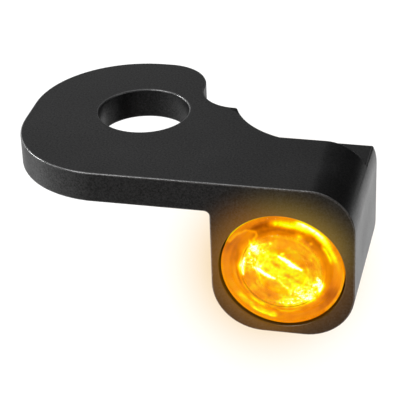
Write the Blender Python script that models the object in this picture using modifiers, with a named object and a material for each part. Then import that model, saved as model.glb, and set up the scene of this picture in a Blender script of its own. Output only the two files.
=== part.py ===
"""Compact LED turn signal on a one-piece clamp bracket for a mirror stem.

Frame: metres, +Z up, -Y is the direction the lamp shines, +X is outboard.
The origin lies on the top clamping face, on the flat ring a stem washer covers,
7.5 mm in front of the stem hole's axis.  All named dimensions are in millimetres.
"""
import math

import bmesh
import bpy
from mathutils import Matrix, Vector

MM = 0.001
MERGE_DISTANCE = 0.000002   # metres

# ---------------------------------------------------------------- bracket dimensions
# clamp plate, seen from above
PLATE_T = 3.6
HOLE_Y = 7.5             # stem hole axis
HOLE_R = 5.25            # clears an M10 mirror stem
FRONT_Y = -7.8           # front face of plate and lamp block
LEFT_X = -13.1           # inboard edge of the plate
FRONT_ARC_R = 11.15      # front inboard rounding
FRONT_ARC_OVERRUN = 0.02    # that arc reaches this far in front of the front face
REAR_ARC_R = 12.4        # rear inboard rounding
REAR_ARC_Y = 7.4
EAR_R = 5.3              # rounded ear beside the notch
EAR_X, EAR_Y = 0.41, 14.5
NOTCH_R = 4.36           # small concave clearance notch, tangent to the ear
NOTCH_X, NOTCH_Y = EAR_X + EAR_R + NOTCH_R, 14.25
RELIEF_R = 10.15         # large concave clearance arc
RELIEF_X, RELIEF_Y = 20.13, 13.23
TIP_ROUND = 0.45         # rounding of the tip between notch and relief
BACK_EDGE_Y = 3.7        # rear edge of the plate over the lamp block

# lamp block, seen from the front
BLOCK_X0, BLOCK_X1 = 11.0, 27.0
BLOCK_BOTTOM = -18.5
TOP_CORNER_R = 5.1
LOW_CORNER_R = 5.7
INNER_FILLET_R = 0.6
LEDGE_Z = -3.0           # top of the block behind the plate's rear edge
BLOCK_BACK_Y = RELIEF_Y - math.sqrt(RELIEF_R ** 2 - (RELIEF_X - BLOCK_X0) ** 2)

# machined edge break
EDGE_BREAK = 0.18
BREAK_SEGMENTS = 2
BREAK_MIN_ANGLE = 40.0   # degrees

# lamp axis (along Y) and the bore
LAMP_X, LAMP_Z = 18.9, -10.5
BORE_R = 7.05
BORE_DEPTH = 11.2
STUD_HOLE_R = 3.2

# how far the cutting shapes run past the body
PLAN_FRONT_OVERRUN = 1.2
PLAN_SIDE_OVERRUN = 1.0
PLAN_CORNER_SHIFT = 0.4  # outboard of the front arc's centre
PLAN_LOW, PLAN_HIGH = -20.0, 1.0
BODY_REAR_Y = 22.0
LEDGE_OVERRUN = 2.0
LEDGE_INSET = 0.2        # outboard of the block's inboard face
STEM_CUT_LENGTH, STEM_CUT_Z = 12.0, -2.0
BORE_CUT_LENGTH = BORE_DEPTH + 4.0
STUD_CUT_LENGTH, STUD_CUT_OFFSET = 20.0, 8.0   # offset of its centre behind the bore floor

# ---------------------------------------------------------------- lamp dimensions
# names without R are depths behind the front face, unless a comment says otherwise
INSERT_R = 6.87
LENS_EDGE_R, LENS_EDGE_DEPTH, LENS_LAND_DEPTH = 6.72, 0.16, 0.36
LENS_FLANGE_BACK = 1.25
LENS_SPIGOT_R, LENS_SPIGOT_IN_R, LENS_SPIGOT_BACK = 6.0, 5.45, 1.9
LENS_RIM_R, LENS_RIM_DEPTH = 6.42, 0.05   # where the domed front meets the rounded edge
LENS_BULGE = 0.75        # the crown stands this far in front of the block
LENS_WALL = 0.5          # thickness
LENS_FRONT_STEPS, LENS_INNER_STEPS = 8, 7

SEAL_R, SEAL_IN_R, SEAL_FRONT, SEAL_BACK = 6.64, 6.12, 1.35, 1.65

CUP_FRONT, CUP_BACK = 1.75, 10.9
CUP_STEP, CUP_FLOOR = 8.3, 9.9
CUP_IN_R, CUP_REAR_IN_R = 6.2, 5.6
STUD_R, STUD_BORE_R, STUD_END = 3.0, 2.05, 22.8
STUD_CHAMFER = 0.3
GROOVE_R, GROOVE_A, GROOVE_B = 6.25, 8.9, 10.0
ORING_R, ORING_SECTION_R = 6.65, 0.34

BOWL_RIM, BOWL_FLOOR, BOWL_WALL = 2.0, 4.3, 0.35   # the last is a thickness
BOWL_RIM_R, BOWL_RIM_IN_R, BOWL_RIM_HEIGHT = 6.08, 5.72, 0.4
BOWL_FLOOR_R, BOWL_HOLE_R = 4.7, 2.1
BOWL_FLOOR_FLARE = 0.32  # extra outside radius at the floor
OPTIC_IN_R, OPTIC_OUT_R = 2.9, 4.55
OPTIC_TOP_IN, OPTIC_TOP_OUT = 0.25, 0.5   # its front face slopes back outwards
OPTIC_BASE = 4.2
DOME_R, DOME_TOP, DOME_SHOULDER = 2.75, 0.1, 0.9
DOME_STEPS = 7

BOARD_R, BOARD_A, BOARD_B = 6.05, 5.3, 6.1
LED_PITCH, LED_SIZE, LED_T, LED_DEPTH = 1.25, 1.0, 0.42, 4.98   # depth of the chip's centre
LED_TILT = math.radians(-38.0)   # turn of the LED row about the lamp axis
CHIP_EDGE = 0.06         # edge bevel of the small components
POTTING_R, POTTING_IN_R, POTTING_FRONT, POTTING_BACK = 5.42, 1.75, 7.2, 9.7

# rear fixing
FIXING_GAP = 0.1         # between block, washer and nut
WASHER_T, WASHER_R, WASHER_CHAMFER = 0.7, 5.4, 0.1
NUT_AF, NUT_T, NUT_HOLE_R = 10.0, 3.0, 3.1
NUT_CORNER_R = NUT_AF / math.sqrt(3.0)
WASHER_FRONT = BLOCK_BACK_Y - FRONT_Y + FIXING_GAP
NUT_FRONT = WASHER_FRONT + WASHER_T + FIXING_GAP
NUT_CENTRE = NUT_FRONT + NUT_T / 2.0
NUT_CUT_OVERRUN = 4.0    # extra length of the hole cutter, both ends together

# ---------------------------------------------------------------- cable dimensions
SHEATH_R, SHEATH_WALL = 1.55, 0.35
SHEATH_START, WIRE_START = 12.0, 6.35     # depths behind the front face
SHEATH_TAIL = 5.0        # straight length after the bend
WIRE_R, WIRE_OFFSET, WIRE_SPREAD = 0.48, 0.58, 1.75
SPREAD_START, SPREAD_LENGTH, WIRE_TAIL = 0.4, 3.2, 4.6   # measured from the sheath's end
SPREAD_STEPS = 5
CABLE_BEND_Y, CABLE_BEND_R, CABLE_BEND_STEPS = 17.6, 4.4, 8
BACKWARD = Vector((0, 1, 0))
CABLE_DROP = Vector((-0.5, 0.0, -math.sqrt(0.75)))       # down and inboard
CABLE_SIDE = Vector((math.sqrt(0.75), 0.0, -0.5))        # across the drop
BEND_START = Vector((LAMP_X, CABLE_BEND_Y, LAMP_Z))
SHEATH_END = BEND_START + BACKWARD * CABLE_BEND_R + CABLE_DROP * (CABLE_BEND_R + SHEATH_TAIL)

# (radius, distance past the wire's end)
TERMINAL_PROFILE = [(0.0, 0.15), (0.72, 0.15), (0.72, 2.6), (0.5, 2.75), (0.5, 3.0),
                    (0.9, 3.2), (0.9, 4.9), (0.62, 5.4), (0.0, 5.55)]
SLEEVE_PROFILE = [(1.18, -1.6), (1.25, -1.5), (1.25, 2.2), (1.15, 2.4),
                  (0.86, 2.4), (0.86, 0.0), (0.62, -0.2), (0.62, -1.6)]
# (radius, distance past the stud's end)
GROMMET_PROFILE = [(2.75, 0.1), (2.85, 0.3), (2.55, 1.3), (2.35, 1.4),
                   (1.68, 1.4), (1.68, -2.2), (1.94, -2.2), (1.94, 0.1)]

FLAT = Matrix.Identity(4)
UPRIGHT = Matrix.Rotation(math.radians(90.0), 4, "X")   # local Y -> world Z, local Z -> world -Y
ALONG_LAMP = (math.radians(90.0), 0.0, 0.0)             # the same turn, as Euler angles

# ---------------------------------------------------------------- scene and collections
for old in list(bpy.data.objects):
    bpy.data.objects.remove(old, do_unlink=True)

parts = bpy.data.collections.new("turn_signal_indicator")
cutters = bpy.data.collections.new("cutters")
for collection in (parts, cutters):
    bpy.context.scene.collection.children.link(collection)


# ---------------------------------------------------------------- materials
def material(name, colour, roughness, metallic=0.0, transmission=0.0, glow=None, glow_strength=2.0):
    mat = bpy.data.materials.new(name)
    mat.use_nodes = True
    inputs = mat.node_tree.nodes["Principled BSDF"].inputs
    inputs["Base Color"].default_value = (*colour, 1.0)
    inputs["Roughness"].default_value = roughness
    inputs["Metallic"].default_value = metallic
    inputs["Transmission Weight"].default_value = transmission
    if glow:
        inputs["Emission Color"].default_value = (*glow, 1.0)
        inputs["Emission Strength"].default_value = glow_strength
    mat.diffuse_color = (*colour, 1.0)
    return mat


ANODISED = material("black_anodised_aluminium", colour=(0.022, 0.022, 0.023),
                    roughness=0.42, metallic=0.75)
CLEAR_PC = material("clear_polycarbonate", colour=(0.95, 0.93, 0.9),
                    roughness=0.03, transmission=0.95)
SILICONE = material("silicone_seal", colour=(0.05, 0.05, 0.055), roughness=0.75)
CUP_ALUMINIUM = material("cup_aluminium", colour=(0.1, 0.1, 0.105), roughness=0.35, metallic=0.9)
RUBBER = material("nitrile_rubber", colour=(0.02, 0.02, 0.02), roughness=0.65)
CHROME = material("vacuum_metallised_reflector", colour=(0.86, 0.86, 0.87),
                  roughness=0.08, metallic=1.0)
ACRYLIC = material("clear_acrylic", colour=(0.93, 0.93, 0.93), roughness=0.05, transmission=0.95)
BOARD_WHITE = material("white_solder_mask_board", colour=(0.75, 0.75, 0.72), roughness=0.5)
AMBER = material("amber_led", colour=(1.0, 0.62, 0.12), roughness=0.3, glow=(1.0, 0.42, 0.03))
EPOXY = material("moulded_epoxy", colour=(0.03, 0.03, 0.03), roughness=0.5)
CERAMIC = material("resistor_ceramic", colour=(0.1, 0.1, 0.11), roughness=0.4)
POTTING = material("potting_resin", colour=(0.04, 0.04, 0.045), roughness=0.3)
STEEL = material("zinc_plated_steel", colour=(0.55, 0.56, 0.58), roughness=0.3, metallic=1.0)
PVC = material("cable_pvc", colour=(0.025, 0.025, 0.025), roughness=0.5)
BRASS = material("tinned_brass", colour=(0.78, 0.6, 0.3), roughness=0.3, metallic=1.0)
VINYL = material("clear_vinyl_sleeve", colour=(0.5, 0.5, 0.52), roughness=0.35, transmission=0.3)
RED_WIRE = material("wire_insulation_red", colour=(0.45, 0.03, 0.02), roughness=0.45)
BLACK_WIRE = material("wire_insulation_black", colour=(0.03, 0.03, 0.03), roughness=0.45)

# name ending, side of the cable, insulation
WIRES = [("live", -1.0, RED_WIRE), ("earth", 1.0, BLACK_WIRE)]

# name, (width, height, thickness), (x, y, depth) of the centre on the lamp axis, material
BOARD_COMPONENTS = [
    ("series_resistor_left", (1.6, 0.8, 0.45), (-3.2, 1.4, 6.45), CERAMIC),
    ("series_resistor_right", (1.6, 0.8, 0.45), (3.2, 1.4, 6.45), CERAMIC),
    ("polarity_diode", (1.7, 1.1, 0.6), (0.0, -3.4, 6.52), EPOXY),
    ("driver_chip", (2.0, 2.0, 0.65), (0.0, 3.3, 6.55), EPOXY),
]


# ---------------------------------------------------------------- object and mesh helpers
def new_object(name, mesh, mat=None, coll=parts):
    ob = bpy.data.objects.new(name, mesh)
    coll.objects.link(ob)
    if mat:
        mesh.materials.append(mat)
    return ob


def smooth_with_creases(mesh, angle):
    mesh.shade_smooth()
    mesh.set_sharp_from_angle(angle=math.radians(angle))


def evaluated_mesh(ob):
    """A new mesh of the object with its modifiers or curve settings applied."""
    bpy.context.view_layer.update()
    depsgraph = bpy.context.evaluated_depsgraph_get()
    return bpy.data.meshes.new_from_object(ob.evaluated_get(depsgraph))


def dissolve_flat(bm, angle):
    bmesh.ops.dissolve_limit(bm, angle_limit=math.radians(angle), verts=bm.verts, edges=bm.edges)


def poly_curve(name, points, dimensions, cyclic):
    curve = bpy.data.curves.new(name, "CURVE")
    curve.dimensions = dimensions
    spline = curve.splines.new("POLY")
    spline.points.add(len(points) - 1)
    for target, (x, y, z) in zip(spline.points, points):
        target.co = (x * MM, y * MM, z * MM, 1.0)
    spline.use_cyclic_u = cyclic
    return curve


def object_from_curve(name, curve, mat, coll=parts, placement=FLAT, merge_faces=False):
    """Turns a curve into a cleaned mesh object at the given placement."""
    temp = bpy.data.objects.new(name + "_tmp", curve)
    temp.matrix_world = placement
    coll.objects.link(temp)
    mesh = evaluated_mesh(temp)
    bm = bmesh.new()
    bm.from_mesh(mesh)
    bmesh.ops.remove_doubles(bm, verts=bm.verts, dist=MERGE_DISTANCE)
    if merge_faces:
        dissolve_flat(bm, 0.05)
    bmesh.ops.recalc_face_normals(bm, faces=bm.faces)
    bm.to_mesh(mesh)
    bm.free()
    mesh.name = name
    ob = new_object(name, mesh, mat, coll)
    ob.matrix_world = temp.matrix_world
    bpy.data.objects.remove(temp, do_unlink=True)
    return ob


def flat_solid(name, outline, low, high, to_world, coll, mat=None):
    """An outline in local XY, extruded from low to high in local Z."""
    curve = poly_curve(name + "_outline", [(x, y, 0.0) for x, y in outline], "2D", True)
    curve.fill_mode = "BOTH"
    curve.extrude = (high - low) / 2.0 * MM
    placement = to_world @ Matrix.Translation((0, 0, (low + high) / 2.0 * MM))
    return object_from_curve(name, curve, mat, coll, placement, merge_faces=True)


def cable_solid(name, points, radius, caps, mat, resolution):
    """A round cord along world points."""
    curve = poly_curve(name + "_line", points, "3D", False)
    curve.bevel_depth = radius * MM
    curve.bevel_resolution = resolution
    curve.use_fill_caps = caps
    ob = object_from_curve(name, curve, mat)
    smooth_with_creases(ob.data, 50.0)
    return ob


def prism_mesh(name, radius, length, segments):
    mesh = bpy.data.meshes.new(name)
    bm = bmesh.new()
    bmesh.ops.create_cone(bm, cap_ends=True, segments=segments, radius1=radius * MM,
                          radius2=radius * MM, depth=length * MM)
    bm.to_mesh(mesh)
    bm.free()
    return mesh


def as_cutter(ob):
    ob.hide_render = True
    ob.display_type = "WIRE"
    return ob


def cylinder_cutter(name, radius, length, centre, segments, rotation=(0.0, 0.0, 0.0)):
    ob = new_object(name, prism_mesh(name, radius, length, segments), coll=cutters)
    ob.location = [v * MM for v in centre]
    ob.rotation_euler = rotation
    return as_cutter(ob)


def boolean(ob, cutter, operation):
    modifier = ob.modifiers.new(cutter.name, "BOOLEAN")
    modifier.operation = operation
    modifier.solver = "EXACT"
    modifier.object = cutter


def turned(name, profile, mat, steps, closed, parent=None, coll=parts):
    """A turned part about local Z; profile points are (radius, depth towards local -Z)."""
    mesh = bpy.data.meshes.new(name)
    count = len(profile)
    edges = [(i, i + 1) for i in range(count - 1)]
    if closed:
        edges.append((count - 1, 0))
    mesh.from_pydata([(radius * MM, 0.0, -depth * MM) for radius, depth in profile], edges, [])
    ob = new_object(name, mesh, mat, coll)
    screw = ob.modifiers.new("turn", "SCREW")
    screw.axis = "Z"
    screw.angle = math.radians(360.0)
    screw.steps = steps
    screw.render_steps = steps
    screw.use_merge_vertices = True
    screw.merge_threshold = MERGE_DISTANCE
    screw.use_smooth_shade = True
    ob.parent = parent
    return ob


def ring_profile(outer, inner, front, back):
    return [(outer, front), (outer, back), (inner, back), (inner, front)]


def arc(cx, cy, radius, start, end, steps):
    """Points of an arc from start to end degrees, both ends included."""
    angles = [math.radians(start + (end - start) * i / steps) for i in range(steps + 1)]
    return [(cx + radius * math.cos(a), cy + radius * math.sin(a)) for a in angles]


def rounded(before, corner, after, radius, steps=4):
    """A small fillet at a corner, from its neighbouring points."""
    corner = Vector(corner)
    to_before = (Vector(before) - corner).normalized()
    to_after = (Vector(after) - corner).normalized()
    half = to_before.angle(to_after) / 2.0
    setback = radius / math.tan(half)
    centre = corner + (to_before + to_after).normalized() * (radius / math.sin(half))
    start = corner + to_before * setback
    end = corner + to_after * setback
    spokes = [start.lerp(end, i / steps) - centre for i in range(steps + 1)]
    return [tuple(centre + spoke.normalized() * radius) for spoke in spokes]


# ---------------------------------------------------------------- bracket body
def relief_arc(y_start, y_end, steps):
    """The part of the relief arc between two Y values, on its inboard front quarter."""
    start, end = (180.0 + math.degrees(math.asin((RELIEF_Y - y) / RELIEF_R))
                  for y in (y_start, y_end))
    return arc(RELIEF_X, RELIEF_Y, RELIEF_R, start, end, steps)


def notch_tip():
    """Where the notch runs out and the relief arc begins, found by iteration."""
    x = NOTCH_X
    for _ in range(40):
        y = NOTCH_Y - math.sqrt(NOTCH_R ** 2 - (x - NOTCH_X) ** 2)
        x = RELIEF_X - math.sqrt(RELIEF_R ** 2 - (RELIEF_Y - y) ** 2)
    return x, y


def plan_outline():
    """Plate and block from above, starting at the outboard rear corner."""
    tip = notch_tip()
    tip_angle = 270.0 + math.degrees(math.asin((tip[0] - NOTCH_X) / NOTCH_R))
    notch = arc(NOTCH_X, NOTCH_Y, NOTCH_R, 180.0, tip_angle, 16)
    relief = relief_arc(tip[1], BLOCK_BACK_Y, 3)
    front_arc_x = LEFT_X + FRONT_ARC_R
    front_arc_y = FRONT_Y + FRONT_ARC_R - FRONT_ARC_OVERRUN
    side_x, front_y = BLOCK_X1 + PLAN_SIDE_OVERRUN, FRONT_Y - PLAN_FRONT_OVERRUN
    return ([(side_x, BLOCK_BACK_Y), (side_x, front_y),
             (front_arc_x + PLAN_CORNER_SHIFT, front_y)]
            + arc(front_arc_x, front_arc_y, FRONT_ARC_R, 270.0, 180.0, 20)
            + arc(LEFT_X + REAR_ARC_R, REAR_ARC_Y, REAR_ARC_R, 180.0, 90.0, 22)
            + arc(EAR_X, EAR_Y, EAR_R, 90.0, 0.0, 16)
            + notch[:-1]
            + rounded(notch[-2], tip, relief[1], TIP_ROUND)
            + relief[1:])


def front_outline():
    """Front elevation of plate and block, in X and Z."""
    left_x = LEFT_X - 2.0    # past the plan's inboard edge
    low_y = BLOCK_BOTTOM + LOW_CORNER_R
    return ([(left_x, 0.0), (left_x, -PLATE_T)]
            + arc(BLOCK_X0 - INNER_FILLET_R, -PLATE_T - INNER_FILLET_R, INNER_FILLET_R,
                  90.0, 0.0, 5)
            + arc(BLOCK_X0 + LOW_CORNER_R, low_y, LOW_CORNER_R, 180.0, 270.0, 16)
            + arc(BLOCK_X1 - LOW_CORNER_R, low_y, LOW_CORNER_R, 270.0, 360.0, 16)
            + arc(BLOCK_X1 - TOP_CORNER_R, -TOP_CORNER_R, TOP_CORNER_R, 0.0, 90.0, 16))


def ledge_outline():
    """Area behind the plate's rear edge where the block is cut down to the ledge."""
    side_x, rear_y = BLOCK_X1 + LEDGE_OVERRUN, BLOCK_BACK_Y + LEDGE_OVERRUN
    return relief_arc(BLOCK_BACK_Y, BACK_EDGE_Y, 14) + [
        (side_x, BACK_EDGE_Y), (side_x, rear_y), (BLOCK_X0 + LEDGE_INSET, rear_y)]


def break_edges(ob):
    """Applies the cuts, then puts a machined edge break on the outside corners only."""
    mesh = evaluated_mesh(ob)
    bm = bmesh.new()
    bm.from_mesh(mesh)
    bmesh.ops.remove_doubles(bm, verts=bm.verts, dist=MERGE_DISTANCE)
    bmesh.ops.dissolve_degenerate(bm, edges=bm.edges, dist=MERGE_DISTANCE)
    dissolve_flat(bm, 0.1)
    bmesh.ops.recalc_face_normals(bm, faces=bm.faces)
    outside = [e for e in bm.edges if len(e.link_faces) == 2 and e.is_convex
               and e.calc_face_angle(0.0) > math.radians(BREAK_MIN_ANGLE)]
    bmesh.ops.bevel(bm, geom=outside, offset=EDGE_BREAK * MM, offset_type="OFFSET",
                    segments=BREAK_SEGMENTS, profile=0.5, affect="EDGES", clamp_overlap=False)
    bmesh.ops.remove_doubles(bm, verts=bm.verts, dist=MERGE_DISTANCE)
    bmesh.ops.triangulate(bm, faces=[f for f in bm.faces if len(f.verts) > 4])
    bmesh.ops.recalc_face_normals(bm, faces=bm.faces)
    bm.to_mesh(mesh)
    bm.free()
    mesh.name = ob.name
    ob.modifiers.clear()
    ob.data = mesh
    smooth_with_creases(mesh, 30.0)


def build_bracket():
    """The front elevation run front to back, trimmed to the plan and then bored."""
    plan = as_cutter(flat_solid("plan_prism", plan_outline(), PLAN_LOW, PLAN_HIGH, FLAT, cutters))
    bracket = flat_solid("bracket_body", front_outline(), -BODY_REAR_Y, -FRONT_Y, UPRIGHT,
                         parts, ANODISED)
    ledge = as_cutter(flat_solid("ledge_cutter", ledge_outline(), LEDGE_Z, LEDGE_OVERRUN,
                                 FLAT, cutters))
    stem = cylinder_cutter("stem_hole_cutter", HOLE_R, STEM_CUT_LENGTH,
                           (0.0, HOLE_Y, STEM_CUT_Z), 64)
    bore_floor = FRONT_Y + BORE_DEPTH
    bore = cylinder_cutter("lamp_bore_cutter", BORE_R, BORE_CUT_LENGTH,
                           (LAMP_X, bore_floor - BORE_CUT_LENGTH / 2.0, LAMP_Z), 72, ALONG_LAMP)
    stud = cylinder_cutter("stud_hole_cutter", STUD_HOLE_R, STUD_CUT_LENGTH,
                           (LAMP_X, bore_floor + STUD_CUT_OFFSET, LAMP_Z), 40, ALONG_LAMP)
    boolean(bracket, plan, "INTERSECT")
    for cutter in (stem, bore, stud, ledge):
        boolean(bracket, cutter, "DIFFERENCE")
    break_edges(bracket)


# ---------------------------------------------------------------- lamp
def build_lamp_axis():
    """Empty on the front face; its local +Z looks forward, out of the lamp."""
    axis = new_object("lamp_axis", None)
    axis.empty_display_size = 5 * MM
    axis.location = (LAMP_X * MM, FRONT_Y * MM, LAMP_Z * MM)
    axis.rotation_euler = ALONG_LAMP
    return axis


def crown(radius):
    """Depth of the lens's domed front at a radius."""
    return LENS_RIM_DEPTH - (LENS_BULGE + LENS_RIM_DEPTH) * (1.0 - (radius / LENS_RIM_R) ** 2)


def build_lens(axis):
    front_radii = [LENS_RIM_R * i / LENS_FRONT_STEPS for i in range(LENS_FRONT_STEPS + 1)]
    inner_radii = [LENS_SPIGOT_IN_R * (1 - i / LENS_INNER_STEPS)
                   for i in range(LENS_INNER_STEPS + 1)]
    edge = [(LENS_EDGE_R, LENS_EDGE_DEPTH), (INSERT_R, LENS_LAND_DEPTH),
            (INSERT_R, LENS_FLANGE_BACK), (LENS_SPIGOT_R, LENS_FLANGE_BACK),
            (LENS_SPIGOT_R, LENS_SPIGOT_BACK), (LENS_SPIGOT_IN_R, LENS_SPIGOT_BACK)]
    profile = ([(r, crown(r)) for r in front_radii] + edge
               + [(r, crown(r) + LENS_WALL) for r in inner_radii])
    turned("lens_cover", profile, CLEAR_PC, 56, False, axis)
    turned("lens_seal_ring", ring_profile(SEAL_R, SEAL_IN_R, SEAL_FRONT, SEAL_BACK),
           SILICONE, 40, True, axis)


def build_cup(axis):
    """Lamp cup with its hollow stud, and the O-ring in the cup's groove."""
    profile = [(INSERT_R, CUP_FRONT), (INSERT_R, GROOVE_A), (GROOVE_R, GROOVE_A),
               (GROOVE_R, GROOVE_B), (INSERT_R, GROOVE_B), (INSERT_R, CUP_BACK),
               (STUD_R, CUP_BACK), (STUD_R, STUD_END - STUD_CHAMFER),
               (STUD_R - STUD_CHAMFER, STUD_END), (STUD_BORE_R, STUD_END),
               (STUD_BORE_R, CUP_FLOOR), (CUP_REAR_IN_R, CUP_FLOOR),
               (CUP_REAR_IN_R, CUP_STEP), (CUP_IN_R, CUP_STEP), (CUP_IN_R, CUP_FRONT)]
    turned("lamp_cup", profile, CUP_ALUMINIUM, 44, True, axis)
    middle = (GROOVE_A + GROOVE_B) / 2
    octagon = [math.radians(67.5 - 45.0 * i) for i in range(8)]
    section = [(ORING_R + ORING_SECTION_R * math.cos(a), middle - ORING_SECTION_R * math.sin(a))
               for a in octagon]
    turned("bore_o_ring", section, RUBBER, 40, True, axis)


def build_optics(axis):
    bowl_back = BOWL_FLOOR + BOWL_WALL
    bowl = [(BOWL_RIM_R, BOWL_RIM), (BOWL_RIM_R, BOWL_RIM + BOWL_RIM_HEIGHT),
            (BOWL_FLOOR_R + BOWL_FLOOR_FLARE, bowl_back), (BOWL_HOLE_R, bowl_back),
            (BOWL_HOLE_R, BOWL_FLOOR), (BOWL_FLOOR_R, BOWL_FLOOR), (BOWL_RIM_IN_R, BOWL_RIM)]
    turned("reflector_bowl", bowl, CHROME, 48, True, axis)
    optic = [(OPTIC_OUT_R, OPTIC_TOP_OUT), (OPTIC_OUT_R, OPTIC_BASE),
             (OPTIC_IN_R, OPTIC_BASE), (OPTIC_IN_R, OPTIC_TOP_IN)]
    turned("crystal_optic", optic, ACRYLIC, 48, True, axis)
    angles = [math.radians(90.0 * i / DOME_STEPS) for i in range(DOME_STEPS + 1)]
    dome = [(DOME_R * math.sin(a), DOME_SHOULDER - (DOME_SHOULDER - DOME_TOP) * math.cos(a))
            for a in angles]
    turned("projector_dome", dome + [(DOME_R, OPTIC_BASE), (0.0, OPTIC_BASE)],
           ACRYLIC, 36, False, axis)


def box(name, size, centre, mat, axis, tilt=0.0):
    """A small rectangular component; centre is (x, y, depth) on the lamp axis."""
    mesh = bpy.data.meshes.new(name)
    bm = bmesh.new()
    bmesh.ops.create_cube(bm, size=1.0)
    bmesh.ops.scale(bm, vec=[s * MM for s in size], verts=bm.verts)
    bm.to_mesh(mesh)
    bm.free()
    ob = new_object(name, mesh, mat)
    ob.parent = axis
    x, y, depth = centre
    ob.location = (x * MM, y * MM, -depth * MM)
    ob.rotation_euler = (0.0, 0.0, tilt)
    bevel = ob.modifiers.new("edges", "BEVEL")
    bevel.width = CHIP_EDGE * MM
    bevel.segments = 1


def build_board(axis):
    """LED board, its components and the potting behind them."""
    profile = [(0.0, BOARD_A), (BOARD_R, BOARD_A), (BOARD_R, BOARD_B), (0.0, BOARD_B)]
    turned("led_board", profile, BOARD_WHITE, 40, False, axis)
    for i, side in enumerate(("left", "centre", "right")):
        along = (i - 1) * LED_PITCH
        centre = (along * math.cos(LED_TILT), along * math.sin(LED_TILT), LED_DEPTH)
        box("led_chip_" + side, (LED_SIZE, LED_SIZE, LED_T), centre, AMBER, axis, LED_TILT)
    for name, size, centre, mat in BOARD_COMPONENTS:
        box(name, size, centre, mat, axis)
    turned("potting_plug", ring_profile(POTTING_R, POTTING_IN_R, POTTING_FRONT, POTTING_BACK),
           POTTING, 36, True, axis)


# ---------------------------------------------------------------- rear fixing on the stud
def build_washer(axis):
    front, back = WASHER_FRONT, WASHER_FRONT + WASHER_T
    profile = [(WASHER_R - WASHER_CHAMFER, front), (WASHER_R, front + WASHER_CHAMFER),
               (WASHER_R, back - WASHER_CHAMFER), (WASHER_R - WASHER_CHAMFER, back),
               (NUT_HOLE_R, back), (NUT_HOLE_R, front)]
    turned("lock_washer", profile, STEEL, 40, True, axis)


def build_nut(axis):
    nut = new_object("stud_nut", prism_mesh("stud_nut", NUT_CORNER_R, NUT_T, 6), STEEL)
    nut.parent = axis
    nut.location = (0.0, 0.0, -NUT_CENTRE * MM)
    hole = cylinder_cutter("nut_hole_cutter", NUT_HOLE_R, NUT_T + NUT_CUT_OVERRUN,
                           (0.0, 0.0, -NUT_CENTRE), 40)
    hole.parent = axis
    boolean(nut, hole, "DIFFERENCE")

    # a turned envelope takes the corners off the hexagon
    end_r, end = NUT_AF / 2 - 0.15, NUT_T / 2 + 0.2
    side_r, side = NUT_CORNER_R + 0.05, NUT_T / 2 - 0.62
    profile = [(0.0, -end), (end_r, -end), (side_r, -side), (side_r, side), (end_r, end),
               (0.0, end)]
    envelope = as_cutter(turned("nut_envelope_cutter", profile, None, 36, False, axis, cutters))
    envelope.location = nut.location
    boolean(nut, envelope, "INTERSECT")


def build_grommet(axis):
    profile = [(radius, STUD_END + past_end) for radius, past_end in GROMMET_PROFILE]
    turned("stud_grommet", profile, RUBBER, 36, True, axis)


# ---------------------------------------------------------------- cable
def cable_line(start_depth, offset):
    """Centreline out of the stud, round a quarter bend, then down and inboard."""
    aside = CABLE_SIDE * offset
    points = [Vector((LAMP_X, FRONT_Y + start_depth, LAMP_Z)) + aside, BEND_START + aside]
    for i in range(1, CABLE_BEND_STEPS + 1):
        angle = math.radians(90.0 * i / CABLE_BEND_STEPS)
        points.append(BEND_START + BACKWARD * (CABLE_BEND_R * math.sin(angle))
                      + CABLE_DROP * (CABLE_BEND_R * (1 - math.cos(angle))) + aside)
    points.append(SHEATH_END + aside)
    return points


def wire_line(side):
    """A wire inside the sheath that then eases out to its terminal."""
    offset, spread = side * WIRE_OFFSET, side * WIRE_SPREAD
    points = cable_line(WIRE_START, offset)
    for i in range(1, SPREAD_STEPS + 1):
        t = i / SPREAD_STEPS
        ease = t * t * (3 - 2 * t)
        points.append(SHEATH_END + CABLE_DROP * (SPREAD_START + SPREAD_LENGTH * t)
                      + CABLE_SIDE * (offset + (spread - offset) * ease))
    points.append(SHEATH_END + CABLE_DROP * WIRE_TAIL + CABLE_SIDE * spread)
    return points


def build_sheath():
    sheath = cable_solid("cable_sheath", cable_line(SHEATH_START, 0.0),
                         SHEATH_R - SHEATH_WALL / 2, False, PVC, resolution=3)
    wall = sheath.modifiers.new("wall", "SOLIDIFY")
    wall.thickness = SHEATH_WALL * MM
    wall.offset = 0.0
    wall.use_even_offset = True


def build_wire(tag, side, mat):
    """A wire, with its terminal and sleeve turned about the cable's drop."""
    points = wire_line(side)
    cable_solid("wire_" + tag, points, WIRE_R, True, mat, resolution=2)
    z_axis = -CABLE_DROP
    turn = Matrix((CABLE_SIDE, z_axis.cross(CABLE_SIDE), z_axis)).transposed().to_4x4()
    placement = Matrix.Translation(points[-1] * MM) @ turn
    for name, profile, part_mat, closed in (("terminal_", TERMINAL_PROFILE, BRASS, False),
                                            ("terminal_sleeve_", SLEEVE_PROFILE, VINYL, True)):
        turned(name + tag, profile, part_mat, 20, closed).matrix_world = placement


# ---------------------------------------------------------------- assembly
build_bracket()
lamp_axis = build_lamp_axis()
for build in (build_lens, build_cup, build_optics, build_board,
              build_washer, build_nut, build_grommet):
    build(lamp_axis)
build_sheath()
for wire_tag, wire_side, insulation in WIRES:
    build_wire(wire_tag, wire_side, insulation)
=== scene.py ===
# A black anodised bracket with a lit round amber lamp in its front face. The lamp's axis lies
# along Y and its face looks to -Y; +X is outboard and +Z up. A threaded stud, washer, nut and
# cable follow it to the back (+Y), where the cable turns down and inboard to two terminals.
# The scene is in metres. Lamp sizes are in mm: x outboard, z up, depth behind the front face.
import math
import random

import bmesh
import bpy
import numpy as np
from mathutils import Matrix, Vector, noise
from mathutils.geometry import delaunay_2d_cdt


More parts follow.
